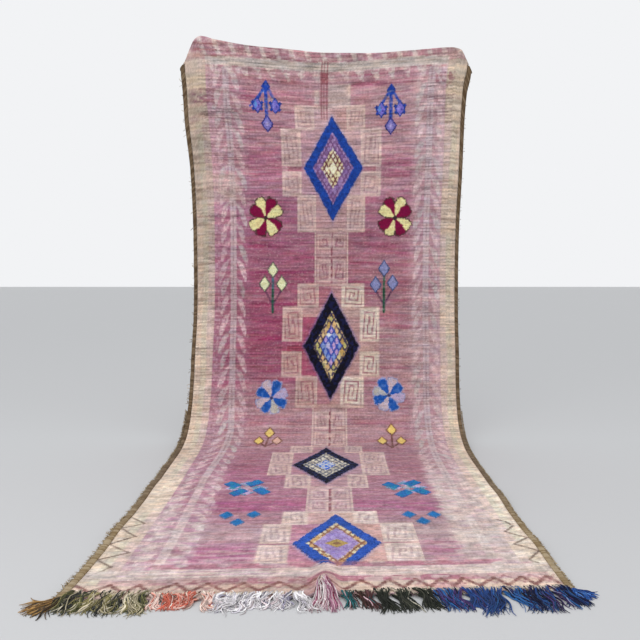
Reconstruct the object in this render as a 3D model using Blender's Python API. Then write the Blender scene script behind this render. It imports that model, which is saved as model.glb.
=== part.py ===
"""Berber runner rug, hung by its far end and run out over the floor towards the viewer.

Metres, +Z up, +X to the viewer's right, the pile side facing -Y and +Z. The cloth is one
long pile sheet. It lies on the floor from its front hem, lifts off in a long soft bend,
hangs nearly upright, and folds over at the top, where its last stretch hangs behind.
Brown overcast bindings run down both sides. Along the front hem the warp ends are knotted
into coloured locks, and a tassel lies off each front corner.
"""

import math
from collections import namedtuple

import bmesh
import bpy
import numpy as np

# Cloth
PILE_THICKNESS = 0.010
BINDING_WIDTH = 0.022
BINDING_RAISE = 0.002
BINDING_ROUND = 0.004
SEAM_GAP = 0.0004

# Places along the floor, measured in front of the upright part of the cloth
HEM_LEFT_REACH = 2.035
HEM_RIGHT_REACH = 1.952
LIFT_OFF_REACH = 0.500
BEND_FLOOR_HANDLE = 0.370
BEND_UPRIGHT_HANDLE = 0.350
UPRIGHT_HEIGHT = 0.400

# Hanging part
LEAN_START_HEIGHT = 0.600
LEAN_END_HEIGHT = 2.200
LEAN_FORWARD = 0.120
FOLD_GAP = 0.003
CLOTH_END_HEIGHT = 2.300

# Steps of the grid in each stretch of the cloth, from the hem to the end of the flap
FLOOR_STEPS = 13
BEND_STEPS = 8
HANG_STEPS = 14
FOLD_STEPS = 6
FLAP_STEPS = 3
COLUMN_SPACING = 0.130
LEAST_COLUMN_SHARE = 0.008
PLEAT_COLUMNS = (-1.0, -0.6, -0.3, 0.0, 0.3, 0.6, 1.0)
NORMAL_STEP = 0.001
SLOPE_STEP = 0.002
SHARP_EDGE_DEG = 40.0

# Outer edges of the bindings. stretch counts 0 at the hem, 1 where the cloth lifts off,
# 2 where it is upright, 3 at the top fold and 4 behind it.
Side = namedtuple("Side", "stretch left right")
SIDES = (
    Side(0.00, -0.766, 0.768),
    Side(0.45, -0.751, 0.767),
    Side(0.72, -0.748, 0.774),
    Side(1.00, -0.752, 0.782),
    Side(1.50, -0.748, 0.792),
    Side(2.00, -0.728, 0.785),
    Side(2.20, -0.707, 0.774),
    Side(2.50, -0.696, 0.766),
    Side(2.68, -0.704, 0.772),
    Side(2.84, -0.726, 0.776),
    Side(2.93, -0.732, 0.784),
    Side(3.00, -0.740, 0.804),
    Side(4.00, -0.740, 0.804),
    Side(5.00, -0.722, 0.770),
)

# Visible top edge: it is held up at two places and droops at the corners
TopEdge = namedtuple("TopEdge", "across height")
TOP_EDGE = (
    TopEdge(-0.740, 2.034),
    TopEdge(-0.714, 2.078),
    TopEdge(-0.688, 2.138),
    TopEdge(-0.662, 2.182),
    TopEdge(-0.636, 2.196),
    TopEdge(-0.560, 2.179),
    TopEdge(-0.390, 2.149),
    TopEdge(-0.160, 2.127),
    TopEdge(0.020, 2.112),
    TopEdge(0.260, 2.109),
    TopEdge(0.500, 2.123),
    TopEdge(0.700, 2.138),
    TopEdge(0.746, 2.128),
    TopEdge(0.775, 2.082),
    TopEdge(0.804, 2.020),
)

# Places where the cloth stands off the floor. run is measured from the hem.
Swell = namedtuple("Swell", "name across run reach_across reach_run height")
FLOOR_SWELLS = (
    Swell("centre pleat", 0.018, 0.000, 0.055, 0.340, 0.028),
    Swell("left corner curl", -0.766, 0.000, 0.200, 0.240, 0.008),
    Swell("left edge, first wave", -0.760, 0.560, 0.130, 0.200, 0.009),
    Swell("left edge, second wave", -0.756, 1.080, 0.120, 0.170, 0.007),
    Swell("right edge, first wave", 0.770, 0.330, 0.130, 0.180, 0.008),
    Swell("right edge, second wave", 0.780, 0.860, 0.140, 0.220, 0.010),
)

# Places where the hanging cloth bellies towards the viewer (or away, below zero)
Belly = namedtuple("Belly", "name across height reach_across reach_height depth")
HANG_BELLIES = (
    Belly("under the left peak", -0.560, 1.820, 0.260, 0.340, 0.010),
    Belly("under the middle sag", 0.060, 1.960, 0.380, 0.300, -0.012),
    Belly("storage crease", 0.000, 1.560, 0.900, 0.070, 0.007),
    Belly("left edge", -0.700, 1.150, 0.180, 0.380, 0.012),
    Belly("right edge", 0.770, 1.350, 0.200, 0.420, 0.009),
    Belly("middle", 0.100, 0.980, 0.420, 0.360, -0.009),
)

# Hem fringe
STRIP_DEPTH = 0.010
STRIP_THICKNESS = 0.008
STRIP_GAP = 0.0005
LOCK_PITCH = 0.0106
LOCK_WIDTH = 0.0074
LOCK_TIP_WIDTH = 0.0034
LOCK_TIP_THICKNESS = 0.0036
LOCK_SEGMENTS = 3
LOCK_WAVE = 0.0022
LOCK_WAVE_TURN = 1.9
LOCK_LANDING = 0.7
CLUMP_PULL = 0.34
FAN_LEFT_DEG = -16.0
FAN_RIGHT_DEG = 24.0
LENGTH_SCATTER = 0.13
FRINGE_SEED = 7

Group = namedtuple("Group", "node start end length locks_per_clump colour")
FRINGE_GROUPS = (
    Group("fringe_olive", -0.744, -0.504, 0.070, 4, (0.150, 0.130, 0.062)),
    Group("fringe_coral", -0.504, -0.311, 0.072, 3, (0.560, 0.160, 0.130)),
    Group("fringe_white", -0.311, -0.048, 0.088, 4, (0.560, 0.480, 0.560)),
    Group("fringe_mauve", -0.048, 0.084, 0.105, 3, (0.420, 0.180, 0.250)),
    Group("fringe_brown", 0.084, 0.160, 0.100, 2, (0.075, 0.040, 0.032)),
    Group("fringe_green", 0.160, 0.330, 0.112, 4, (0.060, 0.080, 0.042)),
    Group("fringe_navy", 0.330, 0.746, 0.146, 5, (0.035, 0.050, 0.180)),
)

# Corner tassels. turn is the heading of the first and the last lock, in degrees from
# straight towards the viewer, positive to the viewer's right.
TASSEL_LOCKS = 7
TASSEL_HEAD_LENGTH = 0.016
TASSEL_HEAD_SIDE = 0.3
Tassel = namedtuple("Tassel", "node side first_turn last_turn length colour")
CORNER_TASSELS = (
    Tassel("tassel_left", -1, -98.0, -24.0, 0.082, (0.330, 0.170, 0.055)),
    Tassel("tassel_right", 1, 30.0, 82.0, 0.072, (0.045, 0.110, 0.360)),
)

PILE_COLOUR = (0.480, 0.270, 0.320)
BINDING_COLOUR = (0.105, 0.075, 0.045)


def smooth_table(positions, values, at):
    """Smooth curve through the table's values that never overshoots them."""
    positions = np.asarray(positions, float)
    values = np.asarray(values, float)
    chords = np.diff(values) / np.diff(positions)
    product = chords[:-1] * chords[1:]
    total = np.where(product > 0.0, chords[:-1] + chords[1:], 1.0)
    inner = np.where(product > 0.0, 2.0 * product / total, 0.0)
    slopes = np.concatenate([chords[:1], inner, chords[-1:]])
    cell = np.clip(np.searchsorted(positions, at, side="right") - 1, 0, len(positions) - 2)
    width = positions[cell + 1] - positions[cell]
    t = np.clip((at - positions[cell]) / width, 0.0, 1.0)
    rise = t * t * (3.0 - 2.0 * t)
    leave = t * (1.0 - t) ** 2
    arrive = t * t * (t - 1.0)
    start = values[cell] * (1.0 - rise) + slopes[cell] * width * leave
    return start + values[cell + 1] * rise + slopes[cell + 1] * width * arrive


def bell(distance, reach):
    """Raised cosine: 1 at no distance, 0 with no slope at the reach and past it."""
    return 0.5 + 0.5 * np.cos(math.pi * np.clip(np.abs(distance) / reach, 0.0, 1.0))


def smooth_step(t):
    """Rise from 0 to 1 with level ends."""
    t = np.clip(t, 0.0, 1.0)
    return t * t * (3.0 - 2.0 * t)


def top_edge_height(across):
    """Height of the visible top edge."""
    return smooth_table([p.across for p in TOP_EDGE], [p.height for p in TOP_EDGE], across)


def lean(height):
    """How far the hanging cloth's middle layer stands forward at a height."""
    rise = (height - LEAN_START_HEIGHT) / (LEAN_END_HEIGHT - LEAN_START_HEIGHT)
    return LEAN_FORWARD * smooth_step(rise)


def hang_depth(across, height):
    """Forward reach of the hanging cloth, its lean and its bellies together."""
    depth = lean(height)
    for belly in HANG_BELLIES:
        fade = bell(across - belly.across, belly.reach_across)
        depth = depth + belly.depth * fade * bell(height - belly.height, belly.reach_height)
    return depth


def floor_lift(across, run):
    """Height of the cloth's underside over the floor on the floor run."""
    lift = np.zeros(np.broadcast(across, run).shape)
    for swell in FLOOR_SWELLS:
        fade = bell(across - swell.across, swell.reach_across)
        lift = lift + swell.height * fade * bell(run - swell.run, swell.reach_run)
    return lift


def middle_layer(share, stretch):
    """Point of the cloth's middle layer.

    share runs from 0 at the outer left edge to 1 at the outer right edge. stretch counts
    0 to 1 over the floor run, 1 to 2 round the bend, 2 to 3 up the hanging part, 3 to 4
    over the top fold and 4 to 5 down the flap behind. Y is 0 at the upright part.
    """
    share, stretch = np.broadcast_arrays(np.asarray(share, float), np.asarray(stretch, float))
    turns = [row.stretch for row in SIDES]
    left = smooth_table(turns, [row.left for row in SIDES], stretch)
    right = smooth_table(turns, [row.right for row in SIDES], stretch)
    x = left + (right - left) * share
    half = PILE_THICKNESS / 2.0

    hem_reach = HEM_LEFT_REACH + (HEM_RIGHT_REACH - HEM_LEFT_REACH) * share
    run = (hem_reach - LIFT_OFF_REACH) * np.clip(stretch, 0.0, 1.0)
    floor_y = run - hem_reach
    floor_z = half + floor_lift(x, run)

    t = np.clip(stretch - 1.0, 0.0, 1.0)
    near = 3.0 * t * (1.0 - t) ** 2
    far = 3.0 * t * t * (1.0 - t)
    bend_y = -LIFT_OFF_REACH * (1.0 - t) ** 3 - (LIFT_OFF_REACH - BEND_FLOOR_HANDLE) * near
    bend_z = half + (UPRIGHT_HEIGHT - BEND_UPRIGHT_HANDLE) * far + UPRIGHT_HEIGHT * t ** 3

    edge = left_to_right(share)
    rise = top_edge_height(edge + SLOPE_STEP) - top_edge_height(edge - SLOPE_STEP)
    slope = rise / (2.0 * SLOPE_STEP)
    slant = np.sqrt(1.0 + slope ** 2)
    radius = half + FOLD_GAP / 2.0
    hang_top = top_edge_height(edge) - (radius + half) * slant
    t = np.clip(stretch - 2.0, 0.0, 1.0)
    hang_base = half + UPRIGHT_HEIGHT
    hang_z = hang_base + (hang_top - hang_base) * t
    hang_y = -hang_depth(x, hang_z)

    turn = math.pi * np.clip(stretch - 3.0, 0.0, 1.0)
    fold_y = -hang_depth(x, hang_top) + radius * (1.0 - np.cos(turn))
    fold_z = hang_top + radius / slant * np.sin(turn)
    fold_x = x - radius * slope / slant * np.sin(turn)

    flap_end = 2.0 * hang_top - CLOTH_END_HEIGHT
    flap_z = hang_top + (flap_end - hang_top) * np.clip(stretch - 4.0, 0.0, 1.0)
    flap_y = -hang_depth(x, flap_z) + 2.0 * radius

    parts = [stretch < 1.0, stretch < 2.0, stretch < 3.0, stretch < 4.0]
    x = np.where((stretch > 3.0) & (stretch < 4.0), fold_x, x)
    y = np.select(parts, [floor_y, bend_y, hang_y, fold_y], flap_y)
    z = np.select(parts, [floor_z, bend_z, hang_z, fold_z], flap_z)
    return np.stack([x, y, z], axis=-1)


def left_to_right(share):
    """Place across the top edge for a share of the width."""
    return TOP_EDGE[0].across + (TOP_EDGE[-1].across - TOP_EDGE[0].across) * share


def cloth_point(share, stretch, offset):
    """Point at an offset from the middle layer, positive on the pile side."""
    share, stretch = np.broadcast_arrays(np.asarray(share, float), np.asarray(stretch, float))
    before = np.maximum(stretch - NORMAL_STEP, 0.0)
    along = middle_layer(share, stretch + NORMAL_STEP) - middle_layer(share, before)
    across = middle_layer(share + NORMAL_STEP, stretch) - middle_layer(share - NORMAL_STEP, stretch)
    normal = np.cross(across, along)
    normal /= np.linalg.norm(normal, axis=-1, keepdims=True)
    return middle_layer(share, stretch) + normal * np.asarray(offset)[..., None]


def stations():
    """Stretch values of the grid's rows, hem first."""
    rows = []
    for index, steps in enumerate((FLOOR_STEPS, BEND_STEPS, HANG_STEPS, FOLD_STEPS, FLAP_STEPS)):
        rows.extend(index + np.arange(steps) / steps)
    return np.array(rows + [5.0])


def share_of(across, stretch):
    """Share of the width that lies at a place across, on one row."""
    turns = [row.stretch for row in SIDES]
    left = smooth_table(turns, [row.left for row in SIDES], np.array([stretch]))[0]
    right = smooth_table(turns, [row.right for row in SIDES], np.array([stretch]))[0]
    return (across - left) / (right - left)


def column_shares():
    """Shares of the grid's columns: even ones, the drooping corners and the pleat."""
    inner = share_of(SIDES[0].left + BINDING_WIDTH, 0.0)
    spacing = COLUMN_SPACING / (SIDES[0].right - SIDES[0].left)
    columns = list(np.arange(inner, 1.0 - inner, spacing))
    columns.append(1.0 - inner)
    top_span = TOP_EDGE[-1].across - TOP_EDGE[0].across
    columns.extend((p.across - TOP_EDGE[0].across) / top_span for p in TOP_EDGE)
    pleat = FLOOR_SWELLS[0]
    for part in PLEAT_COLUMNS:
        columns.append(share_of(pleat.across + part * pleat.reach_across, 0.0))
    columns = [c for c in sorted(columns) if inner <= c <= 1.0 - inner]
    kept = [columns[0]]
    for column in columns[1:]:
        if column - kept[-1] > LEAST_COLUMN_SHARE:
            kept.append(column)
    kept[-1] = columns[-1]
    return np.array(kept)


def new_object(name, bm, colour, roughness):
    """Turn a bmesh into a smooth-shaded object with its own material."""
    bmesh.ops.recalc_face_normals(bm, faces=bm.faces)
    mesh = bpy.data.meshes.new(name)
    bm.to_mesh(mesh)
    bm.free()
    mesh.shade_smooth()
    mesh.set_sharp_from_angle(angle=math.radians(SHARP_EDGE_DEG))
    material = bpy.data.materials.new(name + "_yarn")
    material.use_nodes = True
    shader = material.node_tree.nodes["Principled BSDF"]
    shader.inputs["Base Color"].default_value = (*colour, 1.0)
    shader.inputs["Roughness"].default_value = roughness
    shader.inputs["Metallic"].default_value = 0.0
    mesh.materials.append(material)
    obj = bpy.data.objects.new(name, mesh)
    bpy.context.collection.objects.link(obj)
    return obj


def loft(rings):
    """Closed body through rings of equal, even length, capped by quads at both ends."""
    bm = bmesh.new()
    rows = [[bm.verts.new(point) for point in ring] for ring in rings]
    count = len(rows[0])
    for low, high in zip(rows, rows[1:]):
        for i in range(count):
            j = (i + 1) % count
            bm.faces.new((low[i], low[j], high[j], high[i]))
    for row in (rows[0], rows[-1]):
        for i in range(count // 2 - 1):
            bm.faces.new((row[i], row[i + 1], row[count - 2 - i], row[count - 1 - i]))
    return bm


def build_cloth():
    """The pile sheet: pile side and back of every row, in one closed body."""
    shares = column_shares()
    rings = []
    for stretch in stations():
        front = cloth_point(shares, stretch, np.full(len(shares), PILE_THICKNESS / 2.0))
        back = cloth_point(shares, stretch, np.full(len(shares), -PILE_THICKNESS / 2.0))
        rings.append(np.concatenate([front, back[::-1]]))
    return new_object("rug", loft(rings), PILE_COLOUR, 0.95)


def build_binding(name, side):
    """Overcast edge: a rounded section carried down one side of the cloth."""
    width = SIDES[0].right - SIDES[0].left
    inner = share_of(SIDES[0].left + BINDING_WIDTH, 0.0)
    gap = SEAM_GAP / width
    round_share = BINDING_ROUND / width
    base = -PILE_THICKNESS / 2.0
    pile = PILE_THICKNESS / 2.0
    crown = pile + BINDING_RAISE
    section = (
        (inner - gap, pile),
        (inner - gap - round_share, crown),
        (round_share, crown),
        (0.0, crown - BINDING_ROUND),
        (0.0, base + BINDING_ROUND),
        (round_share, base),
        (inner - gap - round_share, base),
        (inner - gap, base),
    )
    shares = np.array([point[0] for point in section])
    offsets = np.array([point[1] for point in section])
    if side > 0:
        shares = 1.0 - shares
    rings = [cloth_point(shares, stretch, offsets) for stretch in stations()]
    return new_object(name, loft(rings), BINDING_COLOUR, 0.9)


class Hem:
    """Front hem of the cloth and its bindings, as the straight pieces between columns."""

    def __init__(self):
        shares = np.concatenate([[0.0], column_shares(), [1.0]])
        points = middle_layer(shares, 0.0)
        self.across = points[:, 0]
        self.reach = points[:, 1]
        self.lift = points[:, 2] - PILE_THICKNESS / 2.0

    def at(self, across):
        """Y of the hem and height of its underside at a place across."""
        y = float(np.interp(across, self.across, self.reach))
        return y, float(np.interp(across, self.across, self.lift))


def extrude_lock(bm, cell, heading, side_pull, length, wave):
    """Draw one lock out of a cell of its backing, ring by ring, down to the floor."""
    corners = [vert.co.copy() for vert in cell.verts]
    root = sum((corner.xy for corner in corners), corners[0].xy * 0.0) / 4.0
    root_low = min(corner.z for corner in corners)
    root_high = max(corner.z for corner in corners)
    root_width = max((a.xy - b.xy).length for a in corners for b in corners)
    forward = np.array([math.sin(heading), -math.cos(heading)])
    sideways = np.array([math.cos(heading), math.sin(heading)])
    face = cell
    for ring in range(1, LOCK_SEGMENTS + 1):
        t = ring / LOCK_SEGMENTS
        drift = side_pull * t + wave * math.sin(2.0 * math.pi * t)
        centre = np.array(root) + forward * length * t + sideways * drift
        half_width = 0.5 * (root_width + (LOCK_TIP_WIDTH - root_width) * t)
        low = root_low * (1.0 - smooth_step(t / LOCK_LANDING))
        thickness = (root_high - root_low) + (LOCK_TIP_THICKNESS - root_high + root_low) * t
        face = bmesh.ops.extrude_discrete_faces(bm, faces=[face])["faces"][0]
        for vert, corner in zip(face.verts, corners):
            outward = np.array(corner.xy) - np.array(root)
            hand = 1.0 if float(outward @ sideways) > 0.0 else -1.0
            x, y = centre + sideways * hand * half_width
            is_high = corner.z > 0.5 * (root_low + root_high)
            vert.co = (x, y, low + (thickness if is_high else 0.0))


def comb(front, back, lows, thickness):
    """Backing strip from front and back points. Returns the mesh and its front cells."""
    bm = bmesh.new()
    rows = []
    for (fx, fy), (bx, by), low in zip(front, back, lows):
        high = low + thickness
        corners = ((fx, fy, low), (fx, fy, high), (bx, by, high), (bx, by, low))
        rows.append([bm.verts.new(corner) for corner in corners])
    cells = []
    for a, b in zip(rows, rows[1:]):
        cells.append(bm.faces.new((a[0], b[0], b[1], a[1])))
        bm.faces.new((a[1], b[1], b[2], a[2]))
        bm.faces.new((a[2], b[2], b[3], a[3]))
        bm.faces.new((a[3], b[3], b[0], a[0]))
    bm.faces.new(rows[0])
    bm.faces.new(rows[-1])
    bm.normal_update()
    return bm, cells


def build_fringe_group(group, hem, rng):
    """One colour's run of locks, fused at their roots into a strip along the hem."""
    start = group.start + STRIP_GAP / 2.0
    end = group.end - STRIP_GAP / 2.0
    count = max(2, int(round((end - start) / LOCK_PITCH)))
    pitch = (end - start) / count
    centres = start + pitch * (np.arange(count) + 0.5)
    edges = [start]
    for centre in centres:
        edges.extend((centre - LOCK_WIDTH / 2.0, centre + LOCK_WIDTH / 2.0))
    edges.append(end)
    hems = [hem.at(x) for x in edges]
    back = [(x, y - STRIP_GAP) for x, (y, lift) in zip(edges, hems)]
    front = [(x, y - STRIP_DEPTH) for x, y in back]
    bm, cells = comb(front, back, [lift for y, lift in hems], STRIP_THICKNESS)
    clumps = max(1, count // group.locks_per_clump)
    for i, centre in enumerate(centres):
        clump = i * clumps // count
        members = [c for j, c in enumerate(centres) if j * clumps // count == clump]
        pull = (sum(members) / len(members) - centre) * CLUMP_PULL
        share = (centre - SIDES[0].left) / (SIDES[0].right - SIDES[0].left)
        heading = math.radians(FAN_LEFT_DEG + (FAN_RIGHT_DEG - FAN_LEFT_DEG) * share)
        length = group.length * (1.0 + LENGTH_SCATTER * rng.uniform(-1.0, 1.0))
        wave = LOCK_WAVE * math.sin(LOCK_WAVE_TURN * clump)
        extrude_lock(bm, cells[2 * i + 1], heading, pull, length, wave)
    return new_object(group.node, bm, group.colour, 0.9)


def build_corner_tassel(tassel, hem, rng):
    """Corner tassel: a head in front of the binding's end, with locks fanned round it."""
    outer = SIDES[0].left if tassel.side < 0 else SIDES[0].right
    inner = outer - tassel.side * BINDING_WIDTH
    middle = 0.5 * (outer + inner)
    half = 0.5 * BINDING_WIDTH
    lift = hem.at(middle)[1]
    back_y = min(hem.at(outer)[0], hem.at(inner)[0]) - STRIP_GAP
    turns = np.radians(np.linspace(tassel.first_turn, tassel.last_turn, TASSEL_LOCKS))
    facets = 2 * TASSEL_LOCKS + 1
    reach = 0.5 * (turns[-1] - turns[0]) * (1.0 + 1.0 / TASSEL_LOCKS)
    spread = np.linspace(turns.mean() - reach, turns.mean() + reach, facets + 1)
    side_y = back_y - TASSEL_HEAD_SIDE * TASSEL_HEAD_LENGTH
    nose = (1.0 - TASSEL_HEAD_SIDE) * TASSEL_HEAD_LENGTH
    front = [(middle + half * math.sin(a), side_y - nose * math.cos(a)) for a in spread]
    back = [(middle + half * (2.0 * i / facets - 1.0), back_y) for i in range(facets + 1)]
    for end in (0, -1):
        front[end] = (back[end][0], min(front[end][1], side_y))
    bm, cells = comb(front, back, [lift] * len(front), STRIP_THICKNESS)
    for i, heading in enumerate(turns):
        length = tassel.length * (1.0 + LENGTH_SCATTER * rng.uniform(-1.0, 1.0))
        extrude_lock(bm, cells[2 * i + 1], heading, 0.0, length, 0.0)
    return new_object(tassel.node, bm, tassel.colour, 0.9)


def centre_on_floor(objects):
    """Slide every mesh so that the whole object's box stands centred on the origin."""
    points = np.array([vert.co for obj in objects for vert in obj.data.vertices])
    low, high = points.min(axis=0), points.max(axis=0)
    shift = (-0.5 * (low[0] + high[0]), -0.5 * (low[1] + high[1]), -low[2])
    for obj in objects:
        for vert in obj.data.vertices:
            vert.co.x += shift[0]
            vert.co.y += shift[1]
            vert.co.z += shift[2]


def main():
    """Clear the scene and build the rug, its bindings, its fringe and its tassels."""
    for obj in list(bpy.data.objects):
        bpy.data.objects.remove(obj, do_unlink=True)
    rng = np.random.default_rng(FRINGE_SEED)
    hem = Hem()
    objects = [build_cloth(), build_binding("binding_left", -1), build_binding("binding_right", 1)]
    objects.extend(build_fringe_group(group, hem, rng) for group in FRINGE_GROUPS)
    objects.extend(build_corner_tassel(tassel, hem, rng) for tassel in CORNER_TASSELS)
    centre_on_floor(objects)


main()
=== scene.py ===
"""Looks of the berber runner rug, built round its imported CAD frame.

Metres, +Z up. The cloth keeps the path of its solid: it lies on the floor from its hem,
bends up, hangs, and folds over at the top. On the cloth, u runs across from its middle to
the viewer's right, and v runs along it from the hem. Every knot gets its own colour from
the rug's drawing, which is laid down in u and v from the real sizes of its motifs.
"""

from __future__ import annotations

import logging
import math
from dataclasses import dataclass, field
from enum import IntEnum
from typing import NamedTuple, Sequence

import bpy
import numpy as np
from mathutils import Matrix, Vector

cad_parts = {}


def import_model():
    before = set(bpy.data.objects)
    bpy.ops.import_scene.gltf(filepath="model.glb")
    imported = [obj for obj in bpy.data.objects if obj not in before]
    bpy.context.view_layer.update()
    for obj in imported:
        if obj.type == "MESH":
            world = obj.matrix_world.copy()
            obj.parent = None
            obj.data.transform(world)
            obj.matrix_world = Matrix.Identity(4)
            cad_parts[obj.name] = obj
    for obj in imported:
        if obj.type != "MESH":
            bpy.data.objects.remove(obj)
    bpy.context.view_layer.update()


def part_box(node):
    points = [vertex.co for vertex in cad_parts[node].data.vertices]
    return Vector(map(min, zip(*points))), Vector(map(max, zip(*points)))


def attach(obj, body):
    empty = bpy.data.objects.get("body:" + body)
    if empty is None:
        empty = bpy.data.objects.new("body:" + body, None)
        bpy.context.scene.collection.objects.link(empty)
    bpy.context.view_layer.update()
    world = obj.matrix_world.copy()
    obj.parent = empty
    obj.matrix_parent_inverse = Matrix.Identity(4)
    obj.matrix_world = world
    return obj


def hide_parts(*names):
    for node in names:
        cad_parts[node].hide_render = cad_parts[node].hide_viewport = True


LOG = logging.getLogger("rug")
Array = np.ndarray
BODY = "root"
MM = 0.001
EDGE = 0.005  # softness of a drawn edge, about one knot
RAISED = 0.0015  # pile over this belongs to a raised motif
TUFTED = 0.0012  # pile over this gets a tuft
FOLD_ROWS = 11  # rows round the fold at the top
PILE_COLUMNS, PILE_PITCH = 176, 0.0084  # columns of the pile face, and spacing of its rows
TUFT_PITCH = 0.0062  # spacing of the tufts
BACK_YARN = "B79AA0"  # greyed mauve of the worn back
STRAY_CORNER = (0.905, 0.02, 0.09)  # corner and size of the map's square for loose ends
WHOLE_MAP = (0.0, 0.0, 1.0)


class Hand(IntEnum):
    """Side of the rug, or turn of a spiral, for a viewer who faces the pile."""

    LEFT = -1
    RIGHT = 1


def rgb(colour: Array | str) -> Array:
    """sRGB hex as three numbers from 0 to 1.

    Args:
        colour: sRGB hex. Numbers pass unchanged.

    Returns:
        The three numbers.
    """
    if not isinstance(colour, str):
        return colour
    return np.array([int(colour[i : i + 2], 16) for i in (0, 2, 4)], float) / 255.0


def mix(a: Array | str, b: Array | str, t: Array) -> Array:
    """Blend of two colours, or of two for each place, by a share for each place."""
    a, b = rgb(a), rgb(b)
    return a + (b - a) * np.asarray(t)[..., None]


def to_linear(srgb: Array) -> Array:
    """sRGB values as the linear light that shaders take."""
    srgb = np.clip(np.asarray(srgb, float), 0.0, 1.0)
    return np.where(srgb <= 0.04045, srgb / 12.92, ((srgb + 0.055) / 1.055) ** 2.4)


def linear(colour: str) -> tuple[float, float, float, float]:
    """sRGB hex as a shader's colour."""
    return (*(float(c) for c in to_linear(rgb(colour))), 1.0)


def add_node(
    tree: bpy.types.NodeTree,
    kind: str,
    settings: dict[str, object] | None = None,
    links: dict[str, bpy.types.NodeSocket] | None = None,
) -> bpy.types.Node:
    """Add a node with its settings and links.

    Args:
        tree: Node tree that takes the node.
        kind: Blender's name of the node type.
        settings: Values by socket name, or by attribute name after a leading dot.
        links: Output sockets by the name of the input that each feeds.

    Returns:
        The new node.
    """
    node = tree.nodes.new(kind)
    for name, value in (settings or {}).items():
        if name.startswith("."):
            setattr(node, name[1:], value)
        else:
            node.inputs[name].default_value = value
    for name, socket in (links or {}).items():
        tree.links.new(socket, node.inputs[name])
    return node


@dataclass(frozen=True)
class WoolFinish:
    """Wool whose colour lies on the mesh and whose fibres come from noise.

    Attributes:
        name: Material name.
        roughness: Spread of the gloss.
        sheen: Pale bloom of loose fibres at grazing views.
        fibre_mm: Size of one fibre clump.
        fibre_contrast: Share by which the fibres darken and lighten the colour.
        bump_mm: Height of the fibre relief.
        knot_mm: Width of one knot or twist, 0 for none.
        knot_bump_mm: Height of a knot's dome.
    """

    name: str
    roughness: float = 0.95
    sheen: float = 0.06
    fibre_mm: float = 2.2
    fibre_contrast: float = 0.22
    bump_mm: float = 0.8
    knot_mm: float = 0.0
    knot_bump_mm: float = 0.0

    def make(self) -> bpy.types.Material:
        """Build the material: what is seen is soft matt wool, finely uneven.

        Returns:
            The new material.
        """
        material = bpy.data.materials.new(self.name)
        material.use_nodes = True
        tree = material.node_tree
        shader = tree.nodes["Principled BSDF"]
        shader.inputs["Roughness"].default_value = self.roughness
        shader.inputs["Sheen Weight"].default_value = self.sheen
        shader.inputs["Sheen Roughness"].default_value = 0.6
        shader.inputs["Specular IOR Level"].default_value = 0.06
        where = add_node(tree, "ShaderNodeTexCoord")
        tint = add_node(tree, "ShaderNodeAttribute", {".attribute_name": "tint"})
        fibre = add_node(
            tree,
            "ShaderNodeTexNoise",
            {"Scale": 1.0 / (self.fibre_mm * MM), "Detail": 3.0, "Roughness": 0.65},
            {"Vector": where.outputs["Object"]},
        )
        shade = add_node(
            tree,
            "ShaderNodeMapRange",
            {
                "From Min": 0.3,
                "From Max": 0.7,
                "To Min": 1.0 - self.fibre_contrast,
                "To Max": 1.0 + self.fibre_contrast,
            },
            {"Value": fibre.outputs["Fac"]},
        )
        mixed = add_node(tree, "ShaderNodeVectorMath", {".operation": "MULTIPLY"})
        tree.links.new(tint.outputs["Color"], mixed.inputs[0])
        tree.links.new(shade.outputs["Result"], mixed.inputs[1])
        tree.links.new(mixed.outputs["Vector"], shader.inputs["Base Color"])
        bump = add_node(
            tree,
            "ShaderNodeBump",
            {"Strength": 1.0, "Distance": self.bump_mm * MM},
            {"Height": fibre.outputs["Fac"]},
        )
        if self.knot_mm > 0.0:
            knots = add_node(
                tree,
                "ShaderNodeTexVoronoi",
                {"Scale": 1.0 / (self.knot_mm * MM)},
                {"Vector": where.outputs["Object"]},
            )
            bump = add_node(
                tree,
                "ShaderNodeBump",
                {"Strength": 1.0, "Distance": self.knot_bump_mm * MM, ".invert": True},
                {"Height": knots.outputs["Distance"], "Normal": bump.outputs["Normal"]},
            )
        tree.links.new(bump.outputs["Normal"], shader.inputs["Normal"])
        return material


def scatter(i: Array, j: Array, seed: int) -> Array:
    """Unrelated value from 0 to 1 for every pair of whole numbers.

    The pair and the seed are multiplied by large odd numbers, mixed by shifts, and the
    low 16 bits are read as a fraction.

    Args:
        i: First numbers.
        j: Second numbers.
        seed: Number of the pattern.

    Returns:
        Values from 0 to 1.
    """
    a = np.asarray(i).astype(np.int64).astype(np.uint32)
    b = np.asarray(j).astype(np.int64).astype(np.uint32)
    h = a * np.uint32(374761393) + b * np.uint32(668265263) + np.uint32(seed * 974711 + 101)
    h = (h ^ (h >> np.uint32(13))) * np.uint32(1274126177)
    h = (h ^ (h >> np.uint32(16))) * np.uint32(2246822519)
    return ((h >> np.uint32(9)) & np.uint32(65535)).astype(float) / 65535.0


def cloud(x: Array, y: Array, seed: int) -> Array:
    """Smooth noise from 0 to 1: the four scatter values round a place, blended softly.

    Args:
        x: First coordinates, in cells.
        y: Second coordinates, in cells.
        seed: Number of the pattern.

    Returns:
        Values from 0 to 1.
    """
    i, j = np.floor(x), np.floor(y)
    fx, fy = x - i, y - j
    fx, fy = fx * fx * (3.0 - 2.0 * fx), fy * fy * (3.0 - 2.0 * fy)
    low = scatter(i, j, seed) * (1.0 - fx) + scatter(i + 1, j, seed) * fx
    high = scatter(i, j + 1, seed) * (1.0 - fx) + scatter(i + 1, j + 1, seed) * fx
    return low * (1.0 - fy) + high * fy


def ramp(value: Array, start: float, end: float) -> Array:
    """Soft step from 0 at start to 1 at end."""
    t = np.clip((value - start) / (end - start), 0.0, 1.0)
    return t * t * (3.0 - 2.0 * t)


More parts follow.
